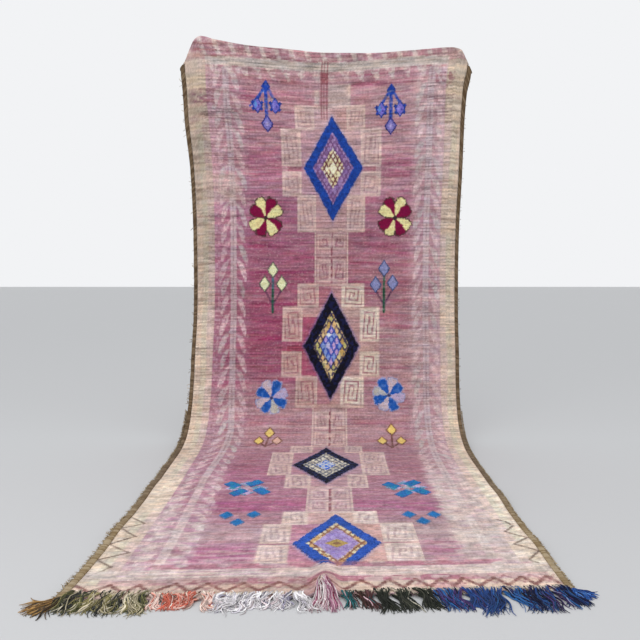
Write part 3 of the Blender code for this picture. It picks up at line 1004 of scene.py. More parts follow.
@dataclass
class Binding:
    """Yarn overcast round one side edge: a rounded section with slanting wraps.

    Attributes:
        path: The cloth's path.
        side: Edge that it binds.
        low: Its back, from the cloth's middle layer.
        high: Its front, from the cloth's middle layer.
        wrap: Spacing of the wraps along the edge.
        depth: Depth of the groove between two wraps.
        fluff: How far loose wraps stand out at the left edge.
        sides: Points round the section.
        pitch: Spacing of the sections.
        strays_low: Loose ends where the cloth lies and bends.
        strays_high: Loose ends further up.
    """

    path: ClothPath
    side: Hand
    low: float = -0.005
    high: float = 0.007
    wrap: float = 0.0085
    depth: float = 0.0011
    fluff: float = 0.0085
    sides: int = 14
    pitch: float = 0.0028
    strays_low: int = 1440
    strays_high: int = 60

    def build(self, name: str, finish: WoolFinish) -> bpy.types.Object:
        """Build the binding.

        The section is a superellipse between the edge and the seam. Its radius is eased
        by a wave along the slanting wraps, and chance makes single wraps tighter. Where
        the cloth lies, loose wraps stand out by up to the fluff. Each wrap has its own
        tone between brown and tan, darkened towards its grooves as painted shade, and all
        are paler on the floor.

        Args:
            name: Name of the piece.
            finish: What it is made of.

        Returns:
            The new piece.
        """
        inner = self.path.inner_share()
        width = SIDES[0].right - SIDES[0].left
        gap = self.path.seam_gap / width
        rows = self.path.even_rows(self.pitch)
        turn = 2.0 * math.pi * np.arange(self.sides) / self.sides
        c, s = np.cos(turn)[None, :], np.sin(turn)[None, :]
        _, v = self.path.cloth_uv(np.full((len(rows), 1), inner / 2.0), rows[:, None])
        phase = v / self.wrap + 0.9 * turn[None, :] / (2.0 * math.pi) * self.side
        wrap_no = np.floor(phase)
        wave = np.abs(np.sin(math.pi * phase)) ** 0.6
        loose = scatter(wrap_no, np.zeros_like(wrap_no), 5) * 0.5
        thin = 1.0 - (self.depth / 0.006) * (1.0 - wave + loose * 0.8)
        ragged = 0.35 + 0.65 * cloud(v / 0.019, v * 0.0 + self.side, 65)
        fluff = self.fluff if self.side < 0 else 0.3 * self.fluff
        spare = fluff * ragged * (0.25 + 0.75 * ramp(v, 2.0, 1.3)) / width
        middle = 0.5 * (inner - gap - spare)
        wide = 0.5 * (inner - gap + spare)
        share = middle + wide * np.sign(c) * np.abs(c) ** 0.7 * (0.5 + 0.5 * thin)
        half, centre = 0.5 * (self.high - self.low), 0.5 * (self.high + self.low)
        offset = centre + half * np.sign(s) * np.abs(s) ** 0.75 * thin
        offset = offset + 0.5 * spare * width * np.maximum(s, 0.0)
        if self.side > 0:
            share = 1.0 - share
        points, normals = self.path.frame(share, rows[:, None])
        points = points + normals * offset[..., None]
        points[..., 2] = np.maximum(points[..., 2], 0.0)
        tone = scatter(wrap_no, np.full_like(wrap_no, self.side), 9)
        fade = ramp(v, 1.3, 0.4)
        dark, pale = mix("5E4B37", "8A7450", fade), mix("8C7860", "B3A183", fade)
        tint = mix(dark, pale, np.clip(tone * 1.2 - 0.1, 0.0, 1.0))
        # Painted shade: each wrap darker towards the grooves at its ends.
        tint = tint * (0.72 + 0.28 * wave[..., None])
        ny = len(rows)
        faces = ring_faces(1, ny, self.sides)
        if self.side > 0:
            faces = faces[:, ::-1]
        places = np.stack(np.broadcast_arrays(
            (np.arange(self.sides + 1) / self.sides * 0.9)[None, :],
            (np.arange(ny) / (ny - 1.0))[:, None]), -1).reshape(-1, 2)
        cell = grid_faces(ny, self.sides + 1)
        if self.side > 0:
            cell = cell[:, ::-1]
        shell = Shell()
        shell.add(points, faces, tint.reshape(-1, 3)[faces], places[cell])
        ring = np.stack([0.95 + 0.04 * np.cos(turn), 0.25 + 0.04 * np.sin(turn)], -1)
        ends = np.stack([np.arange(self.sides), (ny - 1) * self.sides + np.arange(self.sides)[::-1]])
        if self.side < 0:
            ends = ends[:, ::-1]
        shell.share(ends, rgb("8C7860"), np.stack([ring, ring[::-1] + [0.0, 0.5]]))
        self.strays(shell)
        return shell.piece(name, finish)

    def strays(self, shell: Shell) -> None:
        """Loose ends that stand out of the wraps, most of them where the cloth lies.

        Args:
            shell: Shell that takes them.
        """
        rng = np.random.default_rng(60 + self.side)
        count, rings = self.strays_low + self.strays_high, 5
        stretch = np.concatenate([rng.uniform(0.0, 1.7, self.strays_low),
                                  rng.uniform(1.6, 3.0, self.strays_high)])
        share = np.full(count, -0.0010 if self.side < 0 else 1.0010)
        points, normals = self.path.frame(share, stretch)
        ahead, _ = self.path.frame(share, stretch + 0.01)
        along = ahead - points
        along /= np.linalg.norm(along, axis=-1, keepdims=True)
        out = np.cross(along, normals) * self.side
        lean = rng.uniform(-1.4, 1.4, (count, 1))
        way = out + along * lean + normals * rng.uniform(-0.5, 0.7, (count, 1))
        way /= np.linalg.norm(way, axis=-1, keepdims=True)
        t = np.linspace(0.0, 1.0, rings)[None, :, None]
        length = rng.uniform(0.006, 0.019 if self.side < 0 else 0.008, (count, 1, 1))
        root = points + normals * rng.uniform(-0.001, 0.005, (count, 1))
        curve = along[:, None] * rng.uniform(-0.5, 0.5, (count, 1, 1)) * t**2
        centres = root[:, None] + length * (way[:, None] * t + curve)
        radii = 0.0014 * (1.0 - 0.5 * t[..., 0]) * rng.uniform(0.7, 1.4, (count, 1))
        centres[..., 2] = np.maximum(centres[..., 2], radii)
        tone = rng.random((count, 1))
        tint = mix(mix("54402F", "7F6A4A", ramp(stretch, 1.6, 0.8)[:, None]), "BDAA88", tone)
        tint = np.broadcast_to(tint, centres.shape)
        Strands(rings, 3).build(shell, centres, radii, tint, slice(0, count), STRAY_CORNER)


@dataclass
class Strands:
    """Many yarns as closed tubes, with the rings along each and the sides round it."""

    rings: int = 12
    sides: int = 5

    def build(self, shell: Shell, centres: Array, radii: Array, tint: Array, cells: slice,
              room: tuple[float, float, float] = WHOLE_MAP) -> None:
        """Add the tubes to a shell.

        The rings stand square to each yarn's own run, found from the points before and
        after, and the first and last ring are closed.

        Args:
            shell: Shell that takes the tubes.
            centres: Points along each yarn, yarn by ring by xyz.
            radii: Radius at each point.
            tint: sRGB colour at each point.
            cells: Numbers of the map's cells that the yarns take, out of how many.
            room: Corner and size of the map's square that holds the cells.
        """
        count, rings, sides = len(centres), self.rings, self.sides
        run = np.gradient(centres, axis=1)
        run /= np.linalg.norm(run, axis=-1, keepdims=True) + 1e-9
        across = np.cross(run, [0.0, 0.0, 1.0])
        across /= np.linalg.norm(across, axis=-1, keepdims=True) + 1e-9
        up = np.cross(across, run)
        turn = 2.0 * math.pi * np.arange(sides) / sides
        out = across[..., None, :] * np.cos(turn)[:, None] + up[..., None, :] * np.sin(turn)[:, None]
        points = centres[..., None, :] + radii[..., None, None] * out
        points[..., 2] = np.maximum(points[..., 2], 0.0)
        faces = ring_faces(count, rings, sides)
        colour = np.broadcast_to(tint[:, :, None, :], points.shape).reshape(-1, 3)
        across_map = int(math.ceil(math.sqrt(cells.stop)))
        number = np.arange(cells.start, cells.start + count)
        corner = np.stack([number % across_map, number // across_map], -1) / across_map
        inner = np.stack(np.broadcast_arrays(
            (0.05 + 0.8 * np.arange(sides + 1) / sides)[None, :],
            (0.05 + 0.8 * np.arange(rings) / (rings - 1.0))[:, None]), -1).reshape(-1, 2)
        cell = inner[grid_faces(rings, sides + 1)] / across_map
        foot, size = np.array(room[:2]), room[2]
        places = (corner[:, None, None, :] + cell[None]) * size + foot
        shell.add(points, faces, colour[faces], places.reshape(-1, 4, 2))
        first = shell.count - count * rings * sides
        tube = first + np.arange(count)[:, None] * rings * sides
        starts = tube + np.arange(sides)[::-1]
        ends = tube + (rings - 1) * sides + np.arange(sides)
        dot = 0.03 * size / across_map * np.stack([np.cos(turn), np.sin(turn)], -1)
        middle = ((corner + np.array([0.92, 0.3]) / across_map) * size + foot)[:, None]
        shell.share(starts, tint[:, None, 0], middle + dot[::-1])
        shell.share(ends, tint[:, None, -1], middle + np.array([0.0, 0.4]) * size / across_map + dot)


@dataclass
class RaisedKnots:
    """Tufts of the raised motifs: leaning four-sided points, one to a knot."""

    path: ClothPath
    pitch: float = TUFT_PITCH
    half: float = 0.0033
    stand: float = 0.0026

    def build(self, finish: WoolFinish) -> bpy.types.Object:
        """Build the tufts as one mesh.

        Knots lie on a jittered grid. Those where the drawing is raised get a tuft, whose
        tip leans away from its foot by chance and takes the drawing's colour there, with
        painted shade darkening its foot and a painted highlight lightening its tip.

        Args:
            finish: What it is made of.

        Returns:
            The new piece.
        """
        inner = self.path.inner_share()
        rows = self.path.even_rows(self.pitch)
        rows = rows[(rows > 0.002) & (rows < 2.96)]
        columns = int(round(self.path.flat_width * (1.0 - 2.0 * inner) / self.pitch))
        shares = np.linspace(inner + 0.004, 1.0 - inner - 0.004, columns)
        i, j = np.meshgrid(np.arange(columns), np.arange(len(rows)))
        i, j = i.reshape(-1), j.reshape(-1)
        sway = (scatter(i, j, 101) - 0.5) * 0.8 * self.pitch / self.path.flat_width
        stretch_step = np.gradient(rows)[j]
        share = shares[i] + sway
        stretch = rows[j] + (scatter(i, j, 102) - 0.5) * 0.7 * stretch_step
        u, v = self.path.cloth_uv(share, stretch)
        raised = drawn(u, v).pile > TUFTED
        i, j, share, stretch, u, v = (a[raised] for a in (i, j, share, stretch, u, v))
        colour = cloth_colour(u, v, False) * (0.90 + 0.20 * scatter(i, j, 103))[:, None]
        lift = pile_relief(u, v)
        points, normals = self.path.frame(share, stretch)
        ahead, _ = self.path.frame(share, stretch + 0.004)
        along = ahead - points
        along /= np.linalg.norm(along, axis=-1, keepdims=True)
        across = np.cross(along, normals)
        foot = points + normals * (0.0042 + lift)[:, None]
        corners = [foot + self.half * (a * across + b * along)
                   for a, b in ((-1, -1), (1, -1), (1, 1), (-1, 1))]
        lean = (scatter(i, j, 104) - 0.5)[:, None] * across
        lean = lean + (scatter(i, j, 105) - 0.7)[:, None] * along
        tall = self.stand * (0.7 + 0.6 * scatter(i, j, 106))[:, None]
        tip = foot + normals * tall + lean * 0.0050
        knots = np.stack([*corners, tip], 1)
        knots[..., 2] = np.maximum(knots[..., 2], 0.0)
        count = len(knots)
        base = np.arange(count)[:, None] * 5
        faces = np.array(((0, 1, 4), (1, 2, 4), (2, 3, 4), (3, 0, 4)))
        sides = base[:, None] + faces
        number = np.arange(count)
        wide = int(math.ceil(math.sqrt(count)))
        cell = np.stack([number % wide, number // wide], -1) / wide
        square = np.array([(0.05, 0.05), (0.80, 0.05), (0.80, 0.80), (0.05, 0.80), (0.42, 0.42)])
        places = cell[:, None, None, :] + square[faces][None] / wide
        shell = Shell()
        # Painted shade and highlight: each tuft darker at its foot and lighter at its tip.
        shade = np.array([0.78, 0.78, 1.12])[None, None, :, None]
        tint = colour[:, None, None, :] * shade * np.ones((1, 4, 1, 1))
        shell.add(knots, sides.reshape(-1, 3), tint.reshape(-1, 3, 3), places.reshape(-1, 3, 2))
        floor = base + np.array([3, 2, 1, 0])
        strip = np.array([(0.85, 0.05), (0.95, 0.05), (0.95, 0.15), (0.85, 0.15)])
        shell.share(floor, colour[:, None, :], cell[:, None, :] + strip[::-1][None] / wide)
        return shell.piece("raised_knots", finish)


class Mix(NamedTuple):
    """Yarn colour of a fringe group, with how many of its yarns have it."""

    colour: str
    part: float


class Group(NamedTuple):
    """One run of fringe.

    Attributes:
        node: Solid that it stands for.
        slot: Material slot of the record.
        start: Its left end across.
        end: Its right end across.
        length: Length of its longest yarns past the hem.
        curl: How much they curl.
        clump: Width of one lock.
        over: How far inside the hem they start at most.
        gather: Share by which their roots are drawn to the run's middle.
        pinch: Share by which the yarns are drawn into their lock.
        mixes: Colours.
    """

    node: str
    slot: str
    start: float
    end: float
    length: float
    curl: float
    clump: float
    over: float
    gather: float
    pinch: float
    mixes: tuple[Mix, ...]


GROUPS = (
    Group("fringe_olive", "yarn_olive", -0.744, -0.504, 0.100, 1.5, 0.024, 0.048, 0.0, 0.9,
          (Mix("8A8158", 4), Mix("A99F84", 3), Mix("34342F", 4), Mix("D2C8B0", 3), Mix("5E5E3C", 2))),
    Group("fringe_coral", "yarn_coral", -0.504, -0.311, 0.086, 2.0, 0.036, 0.030, 0.0, 1.0,
          (Mix("CE9284", 4), Mix("B9604F", 3), Mix("E0C6BC", 4), Mix("8F6A62", 1))),
    Group("fringe_white", "yarn_white", -0.311, -0.048, 0.118, 2.3, 0.028, 0.020, 0.0, 0.9,
          (Mix("DAD6D8", 6), Mix("BEB9C2", 3), Mix("CDBFC2", 2), Mix("9894A8", 1))),
    Group("fringe_mauve", "yarn_mauve", -0.060, 0.072, 0.104, 0.7, 0.044, 0.076, 0.86, 1.0,
          (Mix("C8A8B2", 4), Mix("9C6A80", 3), Mix("701F38", 3), Mix("DCD2D2", 3))),
    Group("fringe_brown", "yarn_brown", 0.062, 0.160, 0.100, 0.9, 0.038, 0.012, 0.0, 0.9,
          (Mix("35241F", 5), Mix("5A3A3C", 3), Mix("22595E", 2), Mix("C6A6AE", 1))),
    Group("fringe_green", "yarn_green", 0.160, 0.330, 0.112, 0.9, 0.057, 0.022, 0.0, 0.9,
          (Mix("23271F", 6), Mix("3F4036", 3), Mix("141712", 4), Mix("A9A494", 1))),
    Group("fringe_navy", "yarn_navy", 0.330, 0.746, 0.142, 0.9, 0.052, 0.016, 0.0, 0.45,
          (Mix("233F76", 5), Mix("12193A", 4), Mix("7C80A0", 1), Mix("43305F", 2),
           Mix("2E619C", 3))),
)


class Tassel(NamedTuple):
    """Bundle of yarns at a corner: its solid, side, fan in degrees, length and colours."""

    node: str
    slot: str
    side: Hand
    first: float
    last: float
    length: float
    mixes: tuple[Mix, ...]


TASSELS = (
    Tassel("tassel_left", "yarn_ochre", Hand.LEFT, -94.0, -44.0, 0.104,
           (Mix("8A6A3C", 4), Mix("5E4730", 3), Mix("B08A55", 2), Mix("3C342B", 1))),
    Tassel("tassel_right", "yarn_blue", Hand.RIGHT, 30.0, 82.0, 0.072,
           (Mix("2F5FA8", 4), Mix("1F3B78", 3), Mix("5A86C2", 2), Mix("20284A", 1))),
)


@dataclass
class Fringe:
    """All yarn ends along the hem and at its corners.

    Attributes:
        path: The cloth's path.
        knot_pitch: Spacing of the knots that hold the yarns.
        yarns: Yarns in a knot.
        rings: Points along a yarn.
        radius: Mean radius of a yarn.
        fan_left: Heading at the left corner, in degrees from straight to the viewer.
        fan_right: Heading at the right corner.
        clear: Height over the floor at which a yarn clears the pile.
        tassel_yarns: Yarns in a tassel.
        windings: Turns that hold a tassel's head.
    """

    path: ClothPath
    knot_pitch: float = 0.0106
    yarns: int = 9
    rings: int = 14
    radius: float = 0.0017
    fan_left: float = -16.0
    fan_right: float = 24.0
    clear: float = 0.0135
    tassel_yarns: int = 54
    windings: int = 5

    def hem(self, x: Array) -> tuple[Array, Array]:
        """Place along Y of the hem's edge and height of its underside.

        Args:
            x: Places across.

        Returns:
            The two, at those places.
        """
        shares = np.linspace(0.0, 1.0, 401)
        points, _ = self.path.frame(shares, np.zeros(401))
        lift = points[:, 2] - self.path.thickness / 2.0
        return np.interp(x, points[:, 0], points[:, 1]), np.interp(x, points[:, 0], lift)

    def curls(self, roots: Array, heading: Array, length: Array, bend: Array, wave: Array,
              phase: Array, rise: Array, radius: Array, pull: Array) -> Array:
        """Points along the yarns.

        Each yarn leaves its root at its heading, turns by its bend and by a growing wave,
        is drawn sideways into its lock by its pull, and sinks to the floor. Where it lies
        over the cloth it keeps just clear of the pile.

        Args:
            roots: Where the yarns start.
            heading: Angle of each, 0 straight to the viewer.
            length: Length of each.
            bend: Turn over its whole length.
            wave: Swing of its curl.
            phase: Where its curl starts.
            rise: Height of its arch.
            radius: Its radius.
            pull: How far it is drawn sideways.

        Returns:
            Points, yarn by ring by xyz.
        """
        t = np.linspace(0.0, 1.0, self.rings)
        turn = heading[:, None] + bend[:, None] * t**1.5
        turn = turn + wave[:, None] * ramp(t, 0.05, 0.4) * np.sin(
            2.0 * math.pi * (1.4 * t[None, :] + phase[:, None]))
        step = length[:, None] / (self.rings - 1)
        dx, dy = np.sin(turn) * step, -np.cos(turn) * step
        x = roots[:, 0, None] + np.cumsum(dx, axis=1) - dx[:, :1]
        x = x + pull[:, None] * ramp(t, 0.0, 0.38) * (1.0 - 0.45 * ramp(t, 0.5, 1.0))
        y = roots[:, 1, None] + np.cumsum(dy, axis=1) - dy[:, :1]
        fall = 1.0 - ramp(t, 0.0, 0.45)
        hump = rise[:, None] * np.sin(math.pi * np.clip(t * 1.1 + 0.1 * phase[:, None], 0, 1))
        z = radius[:, None] * 0.9 + (roots[:, 2, None] - radius[:, None]) * fall + np.abs(hump)
        hem_y, hem_lift = self.hem(x.reshape(-1))
        inside = y - hem_y.reshape(x.shape)
        lift = self.path.floor_lift(x - self.path.shift[0], np.maximum(inside, 0.0))
        edge = (hem_lift.reshape(x.shape) + self.clear) * (1.0 - ramp(-inside, 0.002, 0.034))
        above = np.where(inside > 0.0, lift + self.clear, edge)
        over = np.maximum(z, radius[:, None] + above + 0.4 * np.abs(hump))
        z = np.where(inside[:, :1] > 0.004, over, z)
        return np.stack([x, y, z], axis=-1)

    def colours(self, mixes: Sequence[Mix], lock: Array, rng: np.random.Generator) -> Array:
        """Colour along each yarn: mostly its lock's own, a little uneven, cream at the root.

        Args:
            mixes: Colours and their parts.
            lock: Number of the lock of each yarn.
            rng: Source of chance.

        Returns:
            sRGB colours, yarn by ring.
        """
        parts = np.array([yarn.part for yarn in mixes], float)
        parts /= parts.sum()
        count = len(lock)
        own = rng.choice(len(mixes), int(lock.max()) + 1, p=parts)[lock]
        chosen = np.where(rng.random(count) < 0.50, own, rng.choice(len(mixes), count, p=parts))
        base = np.stack([rgb(yarn.colour) for yarn in mixes])[chosen]
        base = base * rng.uniform(0.78, 1.18, (count, 1))
        t = np.linspace(0.0, 1.0, self.rings)
        root = (1.0 - ramp(t, 0.06, 0.16)) * (rng.random(count) < 0.55)[:, None]
        cream = rgb("C9BCA8") * rng.uniform(0.85, 1.1, (count, 1, 1))
        tint = mix(base[:, None, :], cream, root)
        return tint * (1.0 + 0.08 * np.sin(9.0 * t + chosen[:, None]))[..., None]

    def thickness(self, count: int, rng: np.random.Generator) -> Array:
        """Radius along each yarn: a knot near the root, an even run and a thin tip.

        Args:
            count: Number of yarns.
            rng: Source of chance.

        Returns:
            Radii, yarn by ring.
        """
        t = np.linspace(0.0, 1.0, self.rings)
        shape = 1.0 + 0.55 * bell(t - 0.09, 0.09) - 0.6 * ramp(t, 0.72, 1.0)
        return self.radius * shape[None, :] * rng.uniform(0.75, 1.25, (count, 1))

    def group(self, group: Group, finish: WoolFinish, seed: int) -> bpy.types.Object:
        """Build one colour's run of fringe: yarns in locks, with floor between the locks.

        Args:
            group: The run.
            finish: What it is made of.
            seed: Seed of its chance.

        Returns:
            The new piece.
        """
        rng = np.random.default_rng(seed)
        pitches = max(2, int(round((group.end - group.start) / self.knot_pitch)))
        count = pitches * self.yarns
        pitch = (group.end - group.start) / count
        x = group.start + pitch * (np.arange(count) + 0.5 + rng.uniform(-0.3, 0.3, count))
        clumps = max(1, int(round((group.end - group.start) / group.clump)))
        borders = np.linspace(group.start, group.end, clumps + 1)
        borders[1:-1] += rng.uniform(-0.25, 0.25, clumps - 1) * group.clump
        lock = np.clip(np.searchsorted(borders, x) - 1, 0, clumps - 1)
        centre = 0.5 * (borders[:-1] + borders[1:])[lock]
        share = (x - SIDES[0].left) / (SIDES[0].right - SIDES[0].left)
        pull = (centre - x) * rng.uniform(0.62, 0.92, count) * (1.0 - group.gather) * group.pinch
        heading = np.radians(self.fan_left + (self.fan_right - self.fan_left) * share)
        aside = (x - 0.5 * (group.start + group.end)) / (0.5 * (group.end - group.start))
        heading = heading + group.gather * 0.20 * aside
        x = x - group.gather * (x - 0.5 * (group.start + group.end)) + self.path.shift[0]
        y, lift = self.hem(x)
        free = 1.0 - 0.65 * group.gather
        heading = heading + free * rng.normal(0.0, 0.15, clumps)[lock]
        heading = heading + free * rng.normal(0.0, 0.10, count)
        bend = free * rng.normal(0.0, 0.45 * group.curl, clumps)[lock]
        bend = bend + free * rng.normal(0.0, 0.30 * group.curl, count)
        wave = 0.45 * group.curl * rng.uniform(0.5, 1.2, count)
        phase = rng.random(clumps)[lock] + rng.normal(0.0, 0.10, count)
        length = group.length * rng.uniform(0.74, 1.08, clumps)[lock]
        length = length * rng.uniform(0.72, 1.06, count)
        radii = self.thickness(count, rng)
        z = lift + rng.uniform(0.0025, 0.0080, count)
        start = 1.0 if group.gather > 0.0 else 0.6
        over = np.where(rng.random(count) < start, rng.uniform(0.35 * start, 1.0, count), 0.0)
        over = over * group.over
        length = length + over
        roots = np.stack([x, y + 0.001 + over, z], -1)
        rise = rng.uniform(0.0, 0.008, count)
        centres = self.curls(roots, heading, length, bend, wave, phase, rise,
                             radii.mean(axis=1), pull)
        shell = Shell()
        Strands(self.rings).build(shell, centres, radii, self.colours(group.mixes, lock, rng),
                                  slice(0, count))
        obj = shell.piece(group.node + "_yarns", finish)
        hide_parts(group.node)
        return obj

    def tassel(self, tassel: Tassel, finish: WoolFinish, seed: int) -> bpy.types.Object:
        """Build one corner tassel: fanned yarns and the windings that hold their head.

        Args:
            tassel: The tassel.
            finish: What it is made of.
            seed: Seed of its chance.

        Returns:
            The new piece.
        """
        rng = np.random.default_rng(seed)
        count, windings = self.tassel_yarns, self.windings
        outer = SIDES[0].left if tassel.side < 0 else SIDES[0].right
        middle = outer - tassel.side * self.path.binding_width / 2.0 + self.path.shift[0]
        spread = np.linspace(0.0, 1.0, count)
        x = middle + (spread - 0.5) * 0.018
        y, lift = self.hem(np.full(count, middle))
        y, lift = y - 0.002, lift
        heading = np.radians(tassel.first + (tassel.last - tassel.first) * spread)
        heading = heading + rng.normal(0.0, 0.14, count)
        length = tassel.length * rng.uniform(0.8, 1.12, count)
        radii = self.thickness(count, rng)
        roots = np.stack([x, y, lift + rng.uniform(0.002, 0.009, count)], -1)
        centres = self.curls(roots, heading, length, rng.normal(-0.7 * tassel.side, 0.4, count),
                             rng.uniform(0.1, 0.5, count), rng.random(count),
                             rng.uniform(0.0, 0.006, count), radii.mean(axis=1),
                             np.zeros(count))
        turn = np.linspace(0.0, 2.0 * math.pi, self.rings)
        way = math.radians(0.5 * (tassel.first + tassel.last))
        k = np.arange(windings)[:, None]
        out = 0.006 + 0.0026 * k
        side = 0.0115 * np.cos(turn)[None, :]
        ring_x = middle + math.sin(way) * out + math.cos(way) * side
        ring_y = y[0] - math.cos(way) * out + math.sin(way) * side
        ring_z = 0.0066 + lift[0] * (1.0 - k / windings) + 0.0052 * np.sin(turn)[None, :]
        rings = np.stack(np.broadcast_arrays(ring_x, ring_y, ring_z), -1)
        shell = Shell()
        tubes = Strands(self.rings)
        cells = count + windings
        tint = self.colours(tassel.mixes, np.arange(count) // 6, rng)
        tubes.build(shell, centres, radii, tint, slice(0, cells))
        wound = self.colours(tassel.mixes[:2], np.arange(windings), rng)
        wound = wound[:, -1:, :].repeat(self.rings, axis=1)
        tubes.build(shell, rings, np.full(rings.shape[:2], 0.0015), wound, slice(count, cells))
        obj = shell.piece(tassel.node + "_yarns", finish)
        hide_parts(tassel.node)
        return obj


class Tone(NamedTuple):
    """Ground colour on the left and on the right at a place along the cloth."""

    v: float
    left: str
    right: str


class Diamond(NamedTuple):
    """Long lozenge in the middle of a medallion, drawn as rings from its edge inwards.

    Attributes:
        u: Its middle across.
        v: Its middle along.
        half: Half its width.
        reach: Half its length.
        border: Share of the size at which the border ends.
        inner: Share of the size at which the heart starts.
        border_colours: Colours of the border's tufts.
        ring_colours: Colours of the lattice ring's cells.
        ring_line: Colour of the lattice lines there.
        heart_colours: Colours of the heart's cells.
        heart_line: Colour of the lattice lines there.
        lattice: Size of a cell, as a share of the lozenge.
        glow: Colour that the border's yarn casts on the ground round it.
        kernels: Half width, half length and colour of the lozenges in its middle.
    """

    u: float
    v: float
    half: float
    reach: float
    border: float
    inner: float
    border_colours: tuple[str, str]
    ring_colours: tuple[str, ...]
    ring_line: str
    heart_colours: tuple[str, ...]
    heart_line: str
    lattice: float
    glow: str
    kernels: tuple[tuple[float, float, str], ...] = ()


class Medallion(NamedTuple):
    """Stepped cross of key blocks.

    Attributes:
        levels: Top, upper step, bar's top, bar's foot, lower step and foot, along.
        narrow: Inner edges of its blocks above and below the steps.
        wide: Inner edges of the blocks between the steps.
        span_narrow: Outer edges above and below the steps.
        span_wide: Outer edges between the steps.
        face: Blocks at the left.
        face_right: Blocks at the right.
        line: Spirals.
        field_left: Field between the blocks at the left.
        field_right: The same at the right.
        cap: Field above the upper step.
        bar: Bar at the left.
        bar_right: Bar at the right.
        foot: Field below the lower step.
        shelf: How much of a pale shelf shows under the upper step, from 0 to 1.
    """

    levels: tuple[float, float, float, float, float, float]
    narrow: tuple[float, float]
    wide: tuple[float, float]
    span_narrow: tuple[float, float]
    span_wide: tuple[float, float]
    face: str
    face_right: str
    line: str
    field_left: str
    field_right: str
    cap: str
    bar: str
    bar_right: str
    foot: str
    shelf: float


class Column(NamedTuple):
    """Strip that joins two medallions, with the levels of its key blocks."""

    low: float
    high: float
    blocks: tuple[tuple[float, float], ...]
    line_v: float
    face: str
    line: str


class Petal(NamedTuple):
    """Petal of a flower: its heading in degrees, its colour, and how much of it shows."""

    turn: float
    colour: str
    strength: float = 1.0


class Flower(NamedTuple):
    """Flower.

    Attributes:
        u: Its centre across.
        v: Its centre along.
        petals: Its petals.
        size: Distance of a petal's middle from the centre, half length and half width.
        heart: Colour of its heart.
        heart_radius: Size of its heart.
        outline: Colour round the petals.
        fleck: Colour of stray knots in the petals.
        flecked: Share of the stray knots.
    """

    u: float
    v: float
    petals: tuple[Petal, ...]
    size: tuple[float, float, float]
    heart: str
    heart_radius: float
    outline: str
    fleck: str
    flecked: float


GROUND = (
    Tone(0.00, "D3BDB2", "D6C3B8"),
    Tone(0.20, "C29FA8", "BF9FA5"),
    Tone(0.50, "BC9FA6", "B79EA0"),
    Tone(0.85, "A46D84", "A27386"),
    Tone(1.10, "A67487", "A67A88"),
    Tone(1.40, "99667A", "9E707E"),
    Tone(1.75, "AC858E", "A9838C"),
    Tone(2.00, "AC878C", "AC858C"),
    Tone(2.25, "9B6275", "AF898E"),
    Tone(2.45, "8D4D64", "B09294"),
    Tone(2.70, "97566D", "A06F7B"),
    Tone(2.90, "9C6378", "A0727E"),
    Tone(3.15, "9C6880", "A27384"),
    Tone(3.40, "AA7B89", "AF8890"),
    Tone(3.65, "AA818B", "AD8A91"),
    Tone(3.90, "A98187", "AC878C"),
    Tone(4.30, "A8868A", "A8868A"),
)
MEDALLION_AXIS = 0.030
COLUMN = (-0.067, 0.127)  # edges of the strips between the medallions
HIDDEN_TIP = 0.200  # the pleat hides the lowest diamond below this
MEDALLIONS = (
    Medallion((3.722, 3.590, 3.381, 3.353, 3.220, 3.021), (-0.060, 0.118), (-0.140, 0.195),
              (-0.165, 0.221), (-0.249, 0.308),
              "C2A6A1", "C2A6A1", "A17F83", "B18B96", "B8969A", "BD9F9D", "945C68",
              "945C68", "B79391", 0.25),
    Medallion((2.735, 2.602, 2.410, 2.353, 2.212, 2.034), (-0.043, 0.089), (-0.134, 0.197),
              (-0.165, 0.221), (-0.249, 0.308),
              "BD9F97", "D6CABA", "96606A", "9C5068", "B48E8C", "B08086", "8E4253",
              "C3A49A", "B8908E", 0.80),
    Medallion((1.732, 1.636, 1.446, 1.440, 1.243, 1.040), (-0.055, 0.112), (-0.150, 0.185),
              (-0.172, 0.203), (-0.262, 0.314),
              "C9B0AA", "C9B0AA", "A3828A", "AC7F8D", "B08C96", "B58F95", "7F5460",
              "7F5460", "B79398", 0.0),
    Medallion((0.733, 0.594, 0.405, 0.395, 0.235, 0.234), (-0.055, 0.122), (-0.114, 0.221),
              (-0.155, 0.216), (-0.222, 0.345),
              "DEC9C0", "E2D0C8", "B59A9C", "C0859A", "CDA49E", "D6BDAE", "9C6E78",
              "9C6E78", "C9A5A0", 0.0),
)
COLUMNS = (
    Column(2.727, 3.021, ((2.925, 3.010), (2.745, 2.870)), 2.881, "B59292", "8F5D6B"),
    Column(1.732, 2.029, ((1.905, 2.012), (1.748, 1.880)), 1.892, "B99A98", "9C747B"),
    Column(0.733, 1.040, ((0.895, 1.015), (0.752, 0.880)), 0.887, "C2A6A8", "A67F8A"),
)
